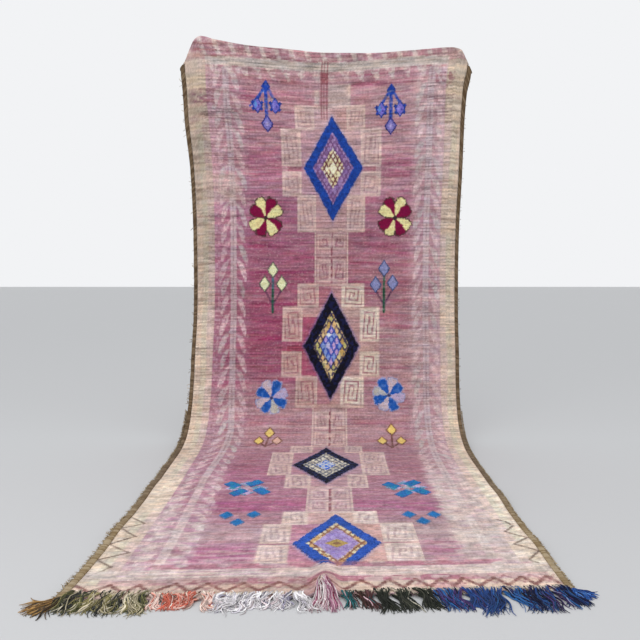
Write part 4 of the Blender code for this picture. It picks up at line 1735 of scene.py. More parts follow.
DIAMONDS = (
    Diamond(0.038, 3.372, 0.165, 0.290, 0.70, 0.40, ("234BA5", "1D3E90"),
            ("9A80B0", "8A6B9E", "A888B4"), "6E4A78",
            ("F0E8C8", "E8DCAE", "DCCFA6"), "5E2A34", 0.150,
            "9C8FB4", ((0.026, 0.044, "F2EBC6"),)),
    Diamond(0.033, 2.384, 0.157, 0.298, 0.665, 0.40, ("13111F", "1B1E44"),
            ("C9A866", "E3D29C", "C2BB78", "DDBB86"), "2A2450",
            ("BEBCE0", "8CA2D6", "E2E6EE", "C9A9D6"), "2A48AC", 0.200, "655D98"),
    Diamond(0.015, 1.405, 0.160, 0.298, 0.72, 0.30, ("141426", "272E55"),
            ("D2CBB8", "B9B2A2", "DCD6C4"), "55586E",
            ("2F5BC0", "3F70D0", "8FA4DC"), "DAD6C8", 0.200, "726D9C"),
    Diamond(0.054, 0.395, 0.155, 0.295, 0.70, 0.52, ("3560BE", "2B53AC"),
            ("E8DCC0", "D9B27A", "E6D6B0"), "8A5A4A",
            ("B2A0CE", "A794C6"), "9C84BE", 0.190,
            "B4A6C8", ((0.045, 0.042, "B59A5E"), (0.020, 0.016, "8A6A50"))),
)
YELLOW, CRIMSON, OCHRE = "ECE3A6", "7F0C40", "EAC878"
BLUE, COBALT, TURQUOISE = "1F57AC", "1F3F9C", "2474B4"
RED_FLOWERS = (
    Flower(-0.347, 3.098, (Petal(110, YELLOW), Petal(70, CRIMSON), Petal(31, YELLOW),
           Petal(-33, CRIMSON), Petal(-61, YELLOW), Petal(-112, CRIMSON),
           Petal(-151, YELLOW), Petal(146, CRIMSON)), (0.066, 0.052, 0.0265), "3A2A2C", 0.012,
           "4A3A34", "5A2030", 0.10),
    Flower(0.393, 3.099, (Petal(112, CRIMSON), Petal(68, YELLOW), Petal(31, CRIMSON),
           Petal(-31, YELLOW), Petal(-66, CRIMSON), Petal(-112, YELLOW),
           Petal(-149, CRIMSON), Petal(147, YELLOW)), (0.066, 0.052, 0.0265), "3A2A2C", 0.012,
           "4A3A34", "5A2030", 0.10),
)
PALE_PINK, PALE_LILAC, PALE_GREEN = "DABDB8", "C2A9C2", "C4BDA4"
FADED = 0.75  # how much of a pale petal shows
BLUE_FLOWERS = (
    Flower(-0.299, 2.089, (Petal(112, PALE_PINK, FADED), Petal(21, PALE_LILAC, FADED),
           Petal(-153, PALE_PINK, FADED), Petal(-74, PALE_GREEN, FADED), Petal(70, BLUE),
           Petal(151, BLUE), Petal(-25, BLUE), Petal(-117, BLUE)),
           (0.060, 0.046, 0.0235), "3A3F6A", 0.010, "A3AAD4", "A9B6DC", 0.28),
    Flower(0.363, 2.104, (Petal(75, PALE_PINK, FADED), Petal(-10, PALE_LILAC, FADED),
           Petal(160, PALE_GREEN, FADED), Petal(-115, PALE_PINK, FADED), Petal(117, BLUE),
           Petal(38, BLUE), Petal(202, BLUE), Petal(-68, BLUE)),
           (0.060, 0.046, 0.0235), "3A3F6A", 0.010, "A3AAD4", "A9B6DC", 0.28),
)
# Painted shade lines where the hanging cloth is creased: ends across, levels, fall of the outer end,
# and number.
CREASE_SHADE_LINES = (
    (-0.738, -0.460, 3.632, 3.664, 0.030, 4), (-0.690, -0.440, 3.400, 3.445, 0.004, 5),
    (-0.745, -0.380, 3.108, 3.108, 0.002, 1), (-0.730, -0.560, 3.560, 3.575, 0.012, 2),
    (0.480, 0.690, 3.640, 3.672, 0.002, 3), (0.560, 0.735, 3.730, 3.745, 0.004, 2),
)
# Magenta streaks of the ground: ends across, ends along, and strength.
STREAKS = (
    (-0.46, -0.08, 0.735, 0.865, 0.75), (0.14, 0.46, 0.735, 0.860, 0.65),
    (-0.50, -0.24, 0.250, 0.420, 0.75), (0.36, 0.50, 0.250, 0.420, 0.45),
    (-0.50, -0.15, 0.130, 0.205, 0.35), (-0.50, -0.10, 3.770, 3.790, 0.40),
    (-0.46, -0.26, 1.150, 1.360, 0.35), (-0.46, -0.10, 2.860, 2.990, 0.45),
    (0.25, 0.52, 2.880, 2.960, 0.40), (-0.45, -0.26, 3.330, 3.470, 0.55),
    (0.32, 0.50, 3.330, 3.430, 0.65), (-0.46, -0.10, 2.250, 2.560, 0.35),
    (-0.46, -0.36, 3.735, 3.775, 0.60),
)
# Corners, across and along, of the brown zigzags on the edge strips and over the hem.
EDGE_ZIGZAGS = {
    Hand.LEFT: ((-0.745, 0.686), (-0.676, 0.616), (-0.745, 0.552), (-0.673, 0.486),
                (-0.745, 0.417), (-0.657, 0.345), (-0.745, 0.287), (-0.681, 0.229),
                (-0.735, 0.150)),
    Hand.RIGHT: ((0.676, 0.622), (0.705, 0.598), (0.720, 0.548), (0.676, 0.490),
                 (0.739, 0.416), (0.676, 0.362), (0.742, 0.286), (0.692, 0.226),
                 (0.739, 0.158), (0.700, 0.104), (0.735, 0.075)),
}
HEM_ZIGZAGS = (
    ((-0.745, 0.085), (-0.690, 0.040), (-0.640, 0.090), (-0.590, 0.040), (-0.552, 0.092),
     (-0.510, 0.034), (-0.443, 0.095), (-0.391, 0.034), (-0.346, 0.093), (-0.286, 0.034),
     (-0.236, 0.092), (-0.186, 0.036), (-0.128, 0.092), (-0.070, 0.038), (-0.020, 0.092)),
    ((-0.020, 0.092), (0.030, 0.045), (0.078, 0.036), (0.125, 0.090), (0.170, 0.036),
     (0.212, 0.092), (0.252, 0.036), (0.294, 0.092), (0.335, 0.036), (0.375, 0.093),
     (0.408, 0.036), (0.443, 0.092), (0.488, 0.036), (0.541, 0.092), (0.574, 0.036),
     (0.629, 0.092), (0.660, 0.036), (0.708, 0.090), (0.735, 0.040)),
)
LEFT_STEM = ((-0.531, 0.5), (-0.546, 1.18), (-0.510, 1.89), (-0.525, 2.10), (-0.535, 2.7))
# Sprigs: top across and along, lowest bud along, reach of the arms.
SPRIGS = ((-0.319, 3.835, 3.615, 0.049), (0.360, 3.812, 3.600, 0.051))
# Tulips: stem across, top along, side buds, and colours of the fill, the edge and the stem.
TULIPS = (
    (-0.308, 2.812, (-0.355, 2.735), (-0.257, 2.735), "E8ECBC", "6F6E66", "3F6B78"),
    (0.335, 2.820, (0.287, 2.730), (0.385, 2.740), "8E92BE", "4A5A86", "2F6048"),
)
# Foot and heads of the yellow buds.
BUD_PLANTS = (
    ((-0.309, 1.724), ((-0.296, 1.868), (-0.348, 1.794), (-0.251, 1.794))),
    ((0.363, 1.708), ((0.370, 1.894), (0.314, 1.794), (0.416, 1.794))),
)
FLOOR_PETALS = (
    (-0.402, 1.089), (-0.307, 1.113), (-0.266, 0.997), (-0.364, 0.982),
    (0.305, 1.069), (0.401, 1.103), (0.428, 0.984), (0.350, 0.953),
)
FLOOR_LOZENGES = (
    (-0.377, 0.700), (-0.325, 0.620), (-0.270, 0.705),
    (0.343, 0.687), (0.390, 0.610), (0.442, 0.684),
)


class RugDrawing(Canvas):
    """The rug's drawing, laid part over part in real metres."""

    def paint(self) -> None:
        """Lay all parts of the drawing, each over those before it."""
        self.ground()
        self.leaf_band(-0.535, 0.102)
        self.leaf_band(0.575, 0.095)
        self.side_border(-0.800, -0.642, Hand.LEFT)
        self.side_border(0.656, 0.800, Hand.RIGHT)
        self.worn_zone_and_crease_shade()
        self.top_border()
        for column in COLUMNS:
            self.column(column)
        for medallion in MEDALLIONS:
            self.medallion(medallion)
        self.crown()
        for number, diamond in enumerate(DIAMONDS):
            self.diamond(diamond, number)
        self.bottom_border()
        self.sprigs()
        for flower in RED_FLOWERS + BLUE_FLOWERS:
            self.flower(flower)
        self.tulips()
        self.buds()
        self.floor_flowers()

    def wear_and_groove_shade(self) -> None:
        """Uneven dye, worn knots, and painted shade in the pile's grooves.

        Every knot is a little lighter or darker and warmer or cooler. Dark lines of
        painted shade lie between the rows of knots and, fainter, between the warps, each
        only in runs.
        Single knots of the ground are worn pale. Raised motifs stay cleaner.
        """
        u, v = self.u, self.v
        plain = 1.0 - 0.6 * ramp(self.pile, 0.0005, 0.0015)
        knot = scatter(np.floor(u / 0.0060), np.floor(v / 0.0056), 3) - 0.5
        pair = scatter(np.floor(u / 0.0250 + 0.3), np.floor(v / 0.0042), 8) - 0.5
        hanging = ramp(v, 1.3, 2.1)
        row = hanging * cloud(u / 0.080, v / 0.0084, 4) - 0.5
        row = row + (1.0 - hanging) * cloud(u / 0.026, v / 0.019, 4)
        broad = cloud(u / 0.30, v / 0.045, 5) - 0.5
        crisp = 0.22 + 0.10 * ramp(v, 2.9, 3.5)
        shade = 1.04 - 0.045 * ramp(v, 1.0, 0.6)
        shade = shade + plain * (0.15 * knot + 0.13 * pair + crisp * row) + 0.06 * broad
        # Painted shade: dark lines in the grooves between the rows of knots and between the warps.
        drift = v + 0.006 * (cloud(u / 0.35, v / 0.08, 46) - 0.5)
        between = ramp(np.abs(np.mod(drift / 0.0168, 1.0) - 0.5), 0.26, 0.44)
        between = between * ramp(cloud(u / 0.16, v / 0.050, 47), 0.20, 0.75)
        upright = ramp(np.abs(np.mod(u / 0.0169, 1.0) - 0.5), 0.30, 0.45)
        upright = upright * ramp(cloud(u / 0.0169, v / 0.055, 45), 0.35, 0.85)
        weft = ramp(cloud(u / 0.085, v / 0.0070, 6), 0.78, 0.94)
        # Painted shade of the grooves, together with the weft's own dark lines.
        dark = 1.0 - plain * ((0.05 + 0.10 * hanging) * between + 0.09 * upright
                              + (0.05 + 0.07 * hanging) * weft)
        self.colour *= (shade * dark)[:, None]
        warm = (cloud(u / 0.045, v / 0.012, 9) - 0.5)[:, None]
        self.colour *= 1.0 + warm * np.array([0.05, 0.00, -0.06])
        pale = 0.26 * (scatter(np.floor(u / 0.0075), np.floor(v / 0.0056), 7) > 0.91)
        line = 0.20 * ramp(cloud(u / 0.10, v / 0.0065, 48), 0.74, 0.90)
        self.colour[:] = mix(self.colour, "D8C6BE", (pale + line) * (plain > 0.9))

    def ground(self) -> None:
        """Mauve ground: its tone by the table, with dye runs across and magenta streaks."""
        u, v = self.u, self.v
        at = v + 0.05 * (cloud(u / 0.25, v / 0.10, 11) - 0.5)
        table = [tone.v for tone in GROUND]
        left = np.stack([rgb(tone.left) for tone in GROUND])
        right = np.stack([rgb(tone.right) for tone in GROUND])
        share = ramp(u, -0.35, 0.40)
        for k in range(3):
            side = np.interp(at, table, left[:, k]) * (1.0 - share)
            self.colour[:, k] = side + np.interp(at, table, right[:, k]) * share
        run = ramp(cloud(u / 0.32, v / 0.020, 12), 0.55, 0.95)
        deep = ramp(v, 1.9, 2.3) * ramp(v, 3.35, 2.95) * (1.0 - 0.75 * share)
        self.colour[:] = mix(self.colour, "8C2C55", run * (0.14 + 0.50 * deep))
        grey = ramp(cloud(u / 0.25, v / 0.016, 13), 0.55, 0.95)
        self.colour[:] = mix(self.colour, "BBA0A2", 0.38 * grey)
        red = ramp(cloud(u / 0.18, v / 0.012, 14), 0.62, 0.95)
        self.colour[:] = mix(self.colour, "A2626A", 0.40 * red)
        line = ramp(cloud(u / 0.22, v / 0.0085, 16), 0.72, 0.95) * (0.35 + 0.65 * ramp(v, 1.6, 2.4))
        self.colour[:] = mix(self.colour, "8E3A58", 0.45 * line)
        for u0, u1, v0, v1, strength in STREAKS:
            at, u, v = self.near(u0 - 0.04, u1 + 0.04, v0 - 0.02, v1 + 0.02)
            fade = ramp(u, u0 - 0.04, u0 + 0.03) * ramp(u, u1 + 0.04, u1 - 0.03)
            fade = fade * ramp(v, v0 - 0.02, v0 + 0.02) * ramp(v, v1 + 0.02, v1 - 0.02)
            fade = fade * ramp(cloud(u / 0.09, v / 0.012, 15), 0.15, 0.70)
            self.lay(at, 0.72 * strength * fade, "A54A7C" if v0 < 1.8 else "994468")

    def side_border(self, u0: float, u1: float, side: Hand) -> None:
        """Cream edge strip in three upright tones, with dark rows, painted crease shade and a zigzag.

        Args:
            u0: Left edge.
            u1: Right edge.
            side: Side of the rug.
        """
        at, u, v = self.near(u0, u1, 0.0, 3.935)
        inner = u1 if side < 0 else u0
        away = np.abs(u - inner)
        floor = ramp(v, 1.7, 0.9)
        warm = mix("DAC4B0", "E3D1BE" if side < 0 else "EEDCC9", floor)
        green = mix("CFC2AD", "D8CEBA" if side < 0 else "E3DAC6", floor)
        pink = mix("D0B8AF", "D7C0B8" if side < 0 else "E2CCC4", floor)
        wander = 0.010 * (cloud(v * 0.0 + 1.0, v / 0.25, 21 + side) - 0.5)
        tone = mix(pink, green, ramp(away + wander, 0.030, 0.046))
        tone = mix(tone, warm, ramp(away + wander, 0.062, 0.076))
        other = cloud(u * 0.0 + 2.0, v / 0.16, 24 + side)
        tone = mix(tone, warm, ramp(other, 0.60, 0.80) * 0.8)
        rows = ramp(cloud(u / 0.06, v / 0.011, 26), 0.70, 0.95)
        tone = mix(tone, "9C8478", (0.36 - 0.28 * floor) * rows)
        # Painted shade: dark lines in the creases of the hanging part.
        crease = ramp(cloud(u / 0.090, v / 0.0062, 29), 0.66, 0.86)
        tone = mix(tone, "7F6A60", (0.45 if side < 0 else 0.30) * crease * (1.0 - floor))
        smudge = ramp(cloud(u / 0.030, v / 0.022, 27), 0.50, 0.85)
        tone = mix(tone, "BFAE9C", 0.40 * smudge * floor)
        dim = (0.15 if side < 0 else 0.06) * ramp(v, 2.62, 2.98) * ramp(v, 3.84, 3.66)
        tone = tone * (1.0 - dim)[:, None]
        edge = np.clip(away / EDGE + 0.3, 0.0, 1.0)
        self.lay(at, edge, tone)
        top, u, v = self.near(u0, u1, 3.60, 3.935)
        self.lay(top, 0.35 * ramp(v, 3.60, 3.75), "A89A84")
        if side < 0:
            at, u, v = self.near(-0.735, -0.600, 3.690, 3.785)
            spot = ramp(cloud(u / 0.016, v / 0.008, 28), 0.35, 0.70)
            spot = spot * ramp(v, 3.690, 3.715) * ramp(v, 3.785, 3.765) * ramp(u, -0.735, -0.700)
            self.lay(at, 0.20 + 0.70 * spot, "8A5E68")
        self.zigzag(EDGE_ZIGZAGS[side], 0.0085, "6B574C", 0.85)

    def worn_zone_and_crease_shade(self) -> None:
        """A pale worn zone over the left band near the top, and thin dark lines of painted shade
        where the cloth is creased.
        """
        worn, u, v = self.near(-0.70, -0.46, 3.17, 3.36)
        fade = ramp(v, 3.17, 3.21) * ramp(v, 3.36, 3.31) * ramp(u, -0.46, -0.52)
        self.lay(worn, 0.55 * fade * (0.5 + cloud(u / 0.04, v / 0.02, 67)), "C4ABA0")
        # Each crease is drawn as dark strokes of painted shade.
        for u0, u1, v0, v1, fall, count in CREASE_SHADE_LINES:
            for k in range(count):
                level, step = v0 + (v1 - v0) * k / max(count - 1, 1), 0.006 * (k % 2)
                bend = (u0 + 0.30 * (u1 - u0), level)
                self.stroke((u0 + step, level - fall), bend, 0.0052, "74535A", 0.60)
                self.stroke(bend, (u1 - 3.0 * step, level + 0.004), 0.0052, "74535A", 0.60)
        scrawl, u, v = self.near(0.60, 0.70, 3.78, 3.87)
        spot = ramp(cloud(u / 0.012, v / 0.014, 68), 0.45, 0.75) * ramp(v, 3.78, 3.81)
        self.lay(scrawl, 0.60 * spot, "86525C")

    def leaf_band(self, stem: float, pitch: float) -> None:
        """Stem of two grey lines with drop-shaped leaves that hang down and out from it.

        A leaf's place along the cloth grows with its distance from the stem, so the
        fraction of that sum is a leaf's own offset across its axis. Its half width grows
        from the stem to a round end.

        Args:
            stem: Place of the stem across.
            pitch: Spacing of the leaves.
        """
        at, u, v = self.near(stem - 0.120, stem + 0.110, 0.10, 3.90)
        floor = ramp(v, 1.7, 0.8)
        right = stem > 0.0
        if right:
            middle = np.full(len(v), stem)
        else:
            middle = np.interp(v, [b[1] for b in LEFT_STEM], [b[0] for b in LEFT_STEM])
        away = np.abs(u - middle)
        hung = mix("BC9FA3" if right else "A8808D", "B99DA0", 0.8 * ramp(v, 3.0, 3.4))
        under = mix(hung, "CDB8B4" if right else "C0A0A8", floor)
        outer = ramp(u - middle if right else middle - u, 0.030, 0.080)
        hold = (0.50 if right else 0.25) + 0.30 * outer + (0.35 if right else 0.15) * floor
        ragged = 0.045 * (cloud(u / 0.06, v / 0.020, 38) - 0.5) * (0.3 + 0.7 * floor)
        inward = (middle - u if right else u - middle) + ragged
        inner = ramp(inward, 0.118, 0.070)
        self.lay(at, hold * inner, under)
        checks = scatter(np.floor(u / 0.0125), np.floor(v / 0.0125), 30)
        self.lay(at, 0.45 * outer * inner * (checks > 0.62), mix("C3A2AC", "DCC8C4", floor))
        grey = mix("BFADB0", "DBCFC8", floor)
        pale = mix("D2B9BB", "E4D5CE", floor)
        side = (u > middle).astype(float)
        shift = 0.020 * (cloud(u / 0.05, v / 0.10, 31) - 0.5)
        slope = 1.70 - 0.55 * floor
        phase = (v + slope * away + shift) / pitch + 0.12 * side
        number = np.floor(phase)
        reach = 0.056 * (0.85 + 0.30 * scatter(number, side, 36)) * (1.0 + 0.25 * floor)
        t = (away - 0.018) / reach
        half = (0.0040 + 0.0160 * ramp(t, 0.0, 0.70)) * (1.0 + 0.35 * floor) * np.sqrt(
            np.clip(1.0 - (np.maximum(t - 0.70, 0.0) / 0.34) ** 2, 0.0, 1.0))
        offset = np.abs(phase - number - 0.5) * pitch / np.hypot(1.0, slope)
        offset = offset + (0.007 + 0.013 * floor) * (cloud(u / 0.012, v / 0.010, 39) - 0.5)
        leaf = np.clip((half - offset) / (1.6 * EDGE) + 0.5, 0.0, 1.0) * (t > -0.1) * (half > 0.002)
        tone = np.clip(scatter(number, side, 32) * 1.8 - 0.7, 0.0, 1.0)
        leaves = mix(pale, mix("BDB8B4", "D8D2CA", floor), tone)
        fleck = 0.40 + 0.60 * ramp(cloud(u / 0.010, v / 0.009, 33), 0.20, 0.55)
        fade = (1.0 - (0.55 * floor if right else 0.0)) * (0.70 + 0.30 * scatter(number, side, 40))
        self.lay(at, (0.85 - 0.15 * floor) * leaf * fleck * fade, leaves)
        shadow = ramp(offset, 0.030, 0.040) * ramp(away, 0.080, 0.060) * ramp(away, 0.016, 0.024)
        self.lay(at, 0.40 * shadow * (1.0 - floor) * fade, "86505F")
        blotch = ramp(cloud(u / 0.050, v / 0.060, 37), 0.35, 0.75) * floor
        self.lay(at, (0.65 if right else 0.35) * blotch * inner, "D9CBC3")
        smear = ramp(cloud(u / 0.045, v / 0.020, 43), 0.55, 0.85) * floor
        self.lay(at, (0.40 if right else 0.55) * smear * inner, "C09AA8" if right else "B784A0")
        stalk = np.clip((0.0170 - away) / EDGE + 0.5, 0.0, 1.0)
        self.lay(at, (0.85 - 0.25 * floor) * stalk, grey)
        centre = np.clip((0.0035 - away) / EDGE + 0.5, 0.0, 1.0)
        broken = ramp(cloud(u / 0.02, v / 0.030, 34), 0.35, 0.60)
        self.lay(at, 0.60 * centre * broken, mix("94747C", "BDA8A6", floor))
        rungs = ramp(np.abs(np.mod(v / 0.0125, 1.0) - 0.5), 0.34, 0.46)
        on = stalk * rungs * ramp(cloud(v * 0.0 + 3.0, v / 0.28, 35), 0.40, 0.55)
        self.lay(at, 0.40 * on, "8E6672")

    def top_border(self) -> None:
        """End border below the fold: mottled blocks, a grey-white band and hanging teeth."""
        mottled, u, v = self.near(-0.80, 0.80, 3.955, 4.60)
        slant = np.mod((u + 0.35 * (v - 3.96)) / 0.0790 + 0.15 * cloud(u / 0.2, v * 0.0, 56), 1.0)
        block = ramp(np.abs(slant - 0.5), 0.40, 0.28)
        spots = ramp(cloud(u / 0.010, v / 0.008, 51), 0.35, 0.75)
        tone = mix("C9B5B0", "AA7F87", block)
        tone = mix(tone, "BFA6A4", 0.45 * spots)
        self.lay(mottled, ramp(v, 3.955, 3.962), tone)
        dark = ramp(cloud(u / 0.030, v / 0.007, 54), 0.60, 0.85)
        self.lay(mottled, 0.45 * dark, "8A5560")
        rest, u, v = self.near(-0.80, 0.80, 4.045, 4.60)
        self.lay(rest, 0.6 * ramp(v, 4.045, 4.075), "B59C9A")
        band, u, v = self.near(-0.640, 0.655, 3.905, 3.958)
        self.lay(band, 0.92 * ramp(v, 3.906, 3.912), "B9ADA6")
        for line, strength in ((3.918, 0.20), (3.929, 0.60), (3.942, 0.25)):
            self.block(-0.600, 0.640, line - 0.0022, line + 0.0022, "8B8A80", strength)
        dashes, u, v = self.near(-0.66, 0.66, 3.952, 3.964)
        on = ramp(cloud(u / 0.030, v / 0.02, 52), 0.30, 0.50)
        self.lay(dashes, 0.35 * on, "8C5A62")
        teeth, u, v = self.near(-0.655, 0.655, 3.835, 3.914)
        lean = (u - 0.40 * (3.91 - v)) / 0.0790 + 0.25 * cloud(u / 0.15, v * 0.0, 53)
        phase = np.mod(lean, 1.0) - 0.5
        reach = (v - 3.842) / 0.066
        tooth = np.clip((0.06 + 0.26 * reach - np.abs(phase)) * 0.0790 / EDGE + 0.5, 0.0, 1.0)
        fleck = 0.20 + 0.80 * ramp(cloud(u / 0.009, v / 0.008, 55), 0.25, 0.60)
        self.lay(teeth, 0.85 * fleck * tooth * ramp(reach, 0.0, 0.3), "C6B5B0")
        self.block(-0.56, 0.58, 3.8395, 3.8475, "87424F", 0.20)
        for v in (4.016, 3.985, 3.954):
            self.block(-0.70, -0.575, v - 0.004, v + 0.004, "8A5150", 0.60)
        corner, u, v = self.near(-0.80, -0.60, 3.86, 3.975)
        self.lay(corner, 0.55 * ramp(u, -0.60, -0.66), "BFA79C")
        corner, u, v = self.near(0.62, 0.80, 3.90, 4.02)
        self.lay(corner, 0.45 * ramp(u, 0.62, 0.68), "B9A497")

    def bottom_border(self) -> None:
        """End border at the hem: cream strip, brown zigzag, pink band and whitish lines."""
        band, u, v = self.near(-0.70, 0.70, 0.195, 0.245)
        patch = ramp(cloud(u / 0.045, v / 0.060, 61), 0.45, 0.65)
        self.lay(band, 0.70 * patch * ramp(v, 0.245, 0.230) * ramp(v, 0.195, 0.205),
                   "AE6E80")
        lines, u, v = self.near(-0.80, 0.80, 0.120, 0.200)
        fine = 0.72 + 0.28 * np.cos(2.0 * math.pi * v / 0.024)
        self.lay(lines, fine * ramp(v, 0.120, 0.130) * ramp(v, 0.200, 0.188), "D8C8BF")
        pink, u, v = self.near(-0.68, 0.72, 0.085, 0.125)
        patch = ramp(cloud(u / 0.030, v / 0.018, 62), 0.40, 0.65) * ramp(np.abs(u), 0.62, 0.40)
        self.lay(pink, 0.80, mix("D0AFAC", "AD6C7E", patch))
        cream, u, v = self.near(-0.80, 0.80, -0.01, 0.088)
        self.lay(cream, ramp(v, 0.090, 0.080), mix(
            "DBC3B2", "CBA39F", ramp(cloud(u / 0.10, v / 0.05, 63), 0.45, 0.75)))
        dull, u, v = self.near(-0.62, 0.10, -0.01, 0.150)
        shade = ramp(u, -0.62, -0.50) * ramp(u, 0.10, -0.05) * ramp(v, 0.150, 0.120)
        self.lay(dull, 0.30 * shade, "8E6F6C")
        for corners in HEM_ZIGZAGS:
            self.zigzag(corners, 0.0150, "7A4E4A", 0.90)
        for corners in (HEM_ZIGZAGS[0][6:], HEM_ZIGZAGS[1][7:]):
            for start, end in zip(corners, corners[1:]):
                self.stroke((start[0], end[1] + 0.016), (end[0], start[1] + 0.016), 0.0095,
                            "96646A", 0.55)

    def key_block(self, box: tuple[float, float, float, float], face: str, line: str,
                  hand: Hand) -> None:
        """Pale block with a square spiral inside a pale frame.

        The inset from the block's edge, plus one pitch for each turn round its centre, is
        a measure that grows along a square spiral. A line runs wherever the measure, in
        pitches, has the same fraction.

        Args:
            box: Left, right, near and far edge.
            face: Colour of the block.
            line: Colour of the spiral.
            hand: Way that the spiral turns.
        """
        u0, u1, v0, v1 = box
        self.block(u0, u1, v0, v1, face, 0.92)
        at, u, v = self.near(u0, u1, v0, v1)
        inset = np.minimum(np.minimum(u - u0, u1 - u), np.minimum(v - v0, v1 - v))
        turn = np.arctan2((v - 0.5 * (v0 + v1)), hand * (u - 0.5 * (u0 + u1))) / (2.0 * math.pi)
        pitch = 0.0240
        part = np.mod((inset + pitch * turn) / pitch + 0.02, 1.0)
        spiral = ramp(np.abs(part - 0.5), 0.27, 0.13) * ramp(inset, 0.011, 0.015)
        broken = 0.55 + 0.45 * ramp(cloud(u / 0.014, v / 0.014, 72), 0.25, 0.60)
        self.lay(at, 0.80 * spiral * broken, line)
        self.lay(at, 0.40 * ramp(inset, 0.014, 0.006), "D9C2B6")

    def medallion(self, m: Medallion) -> None:
        """Stepped cross: reddish field, eight key blocks with cream frames, and the bar.

        Args:
            m: Its sizes and colours.
        """
        top, step_high, bar_high, bar_low, step_low, low = m.levels
        (a0, a1), (b0, b1) = m.span_narrow, m.span_wide
        (c0, c1), (d0, d1) = m.narrow, m.wide
        for u0, u1, v0, v1 in ((a0, a1, low, top), (b0, b1, step_low, step_high)):
            self.block(u0, MEDALLION_AXIS, v0, v1, m.field_left, 0.85)
            self.block(MEDALLION_AXIS, u1, v0, v1, m.field_right, 0.85)
        self.block(a0, a1, step_high, top, m.cap, 0.60)
        self.block(a0, a1, low, step_low, m.foot, 0.60)
        self.block(b0, b1, step_high - 0.055, step_high, m.face, m.shelf)
        blocks = (
            (a0, c0, step_high, top), (c1, a1, step_high, top),
            (b0, d0, bar_high, step_high), (d1, b1, bar_high, step_high),
            (b0, d0, step_low, bar_low), (d1, b1, step_low, bar_low),
            (a0, c0, low, step_low), (c1, a1, low, step_low),
        )
        for i, box in enumerate(blocks):
            if box[3] - box[2] > 0.05:
                face = m.face_right if i % 2 else m.face
                self.key_block(box, face, m.line, Hand.RIGHT if i % 2 else Hand.LEFT)
        self.block(a0, a1, top - 0.016, top, m.face, 0.80)
        if low < step_low - 0.05:
            self.block(a0, a1, low, low + 0.020, m.face, 0.75)
        bar_top = bar_low + min(max(bar_high - bar_low, 0.008), 0.032)
        self.block(b0 + 0.03, MEDALLION_AXIS, bar_low, bar_top, m.bar, 0.75)
        self.block(MEDALLION_AXIS, b1 - 0.03, bar_low, bar_top, m.bar_right, 0.70)
        for level in (step_high, step_low):
            self.block(b0, d0 + 0.06, level - 0.006, level + 0.006, m.face, 0.70)
            self.block(d1 - 0.06, b1, level - 0.006, level + 0.006, m.face, 0.70)

    def column(self, c: Column) -> None:
        """Strip with cream edges, key blocks on both sides and a dashed middle line.

        Args:
            c: Its sizes and colours.
        """
        u0, u1 = COLUMN
        self.block(u0, u1, c.low, c.high, c.face, 0.85)
        for v0, v1 in c.blocks:
            self.key_block((u0 + 0.014, 0.026, v0, v1), c.face, c.line, Hand.LEFT)
            self.key_block((0.036, u1 - 0.014, v0, v1), c.face, c.line, Hand.RIGHT)
        for a in (u0, u1 - 0.009):
            self.block(a, a + 0.009, c.low, c.high, "D0BAB0", 0.70)
        self.block(u0 + 0.010, u0 + 0.014, c.low, c.high, c.line, 0.6)
        self.block(u1 - 0.014, u1 - 0.010, c.low, c.high, c.line, 0.6)
        at, u, v = self.near(0.024, 0.038, c.low, c.high)
        dash = ramp(cloud(u / 0.010, v / 0.020, 71), 0.35, 0.55)
        self.lay(at, 0.75 * dash, "7C444F")
        self.block(u0 + 0.01, u1 - 0.01, c.line_v - 0.003, c.line_v + 0.003, "6E3F48", 0.7)

    def crown(self) -> None:
        """Column between the first medallion and the top border."""
        self.block(-0.070, 0.145, 3.722, 3.900, "A98A8C", 0.40)
        self.block(-0.055, -0.030, 3.730, 3.810, "BBA7A2", 0.85)
        self.block(0.020, 0.140, 3.723, 3.842, "B5A09A", 0.85)
        self.block(0.128, 0.136, 3.66, 3.842, "CDB7AC", 0.70)
        for v in (3.722, 3.697):
            self.block(-0.165, 0.221, v - 0.003, v + 0.004, "D5BDB4", 0.60)
        for u, strength in ((-0.018, 0.75), (-0.005, 0.55), (0.011, 0.70)):
            self.block(u - 0.0035, u + 0.0035, 3.650, 3.960, "7D474E", strength)
        self.block(-0.022, 0.018, 3.842, 3.905, "8A4A52", 0.65)
        at, _, _ = self.near(0.030, 0.120, 3.60, 3.71)
        self.lay(at, 0.45, "B98A86")

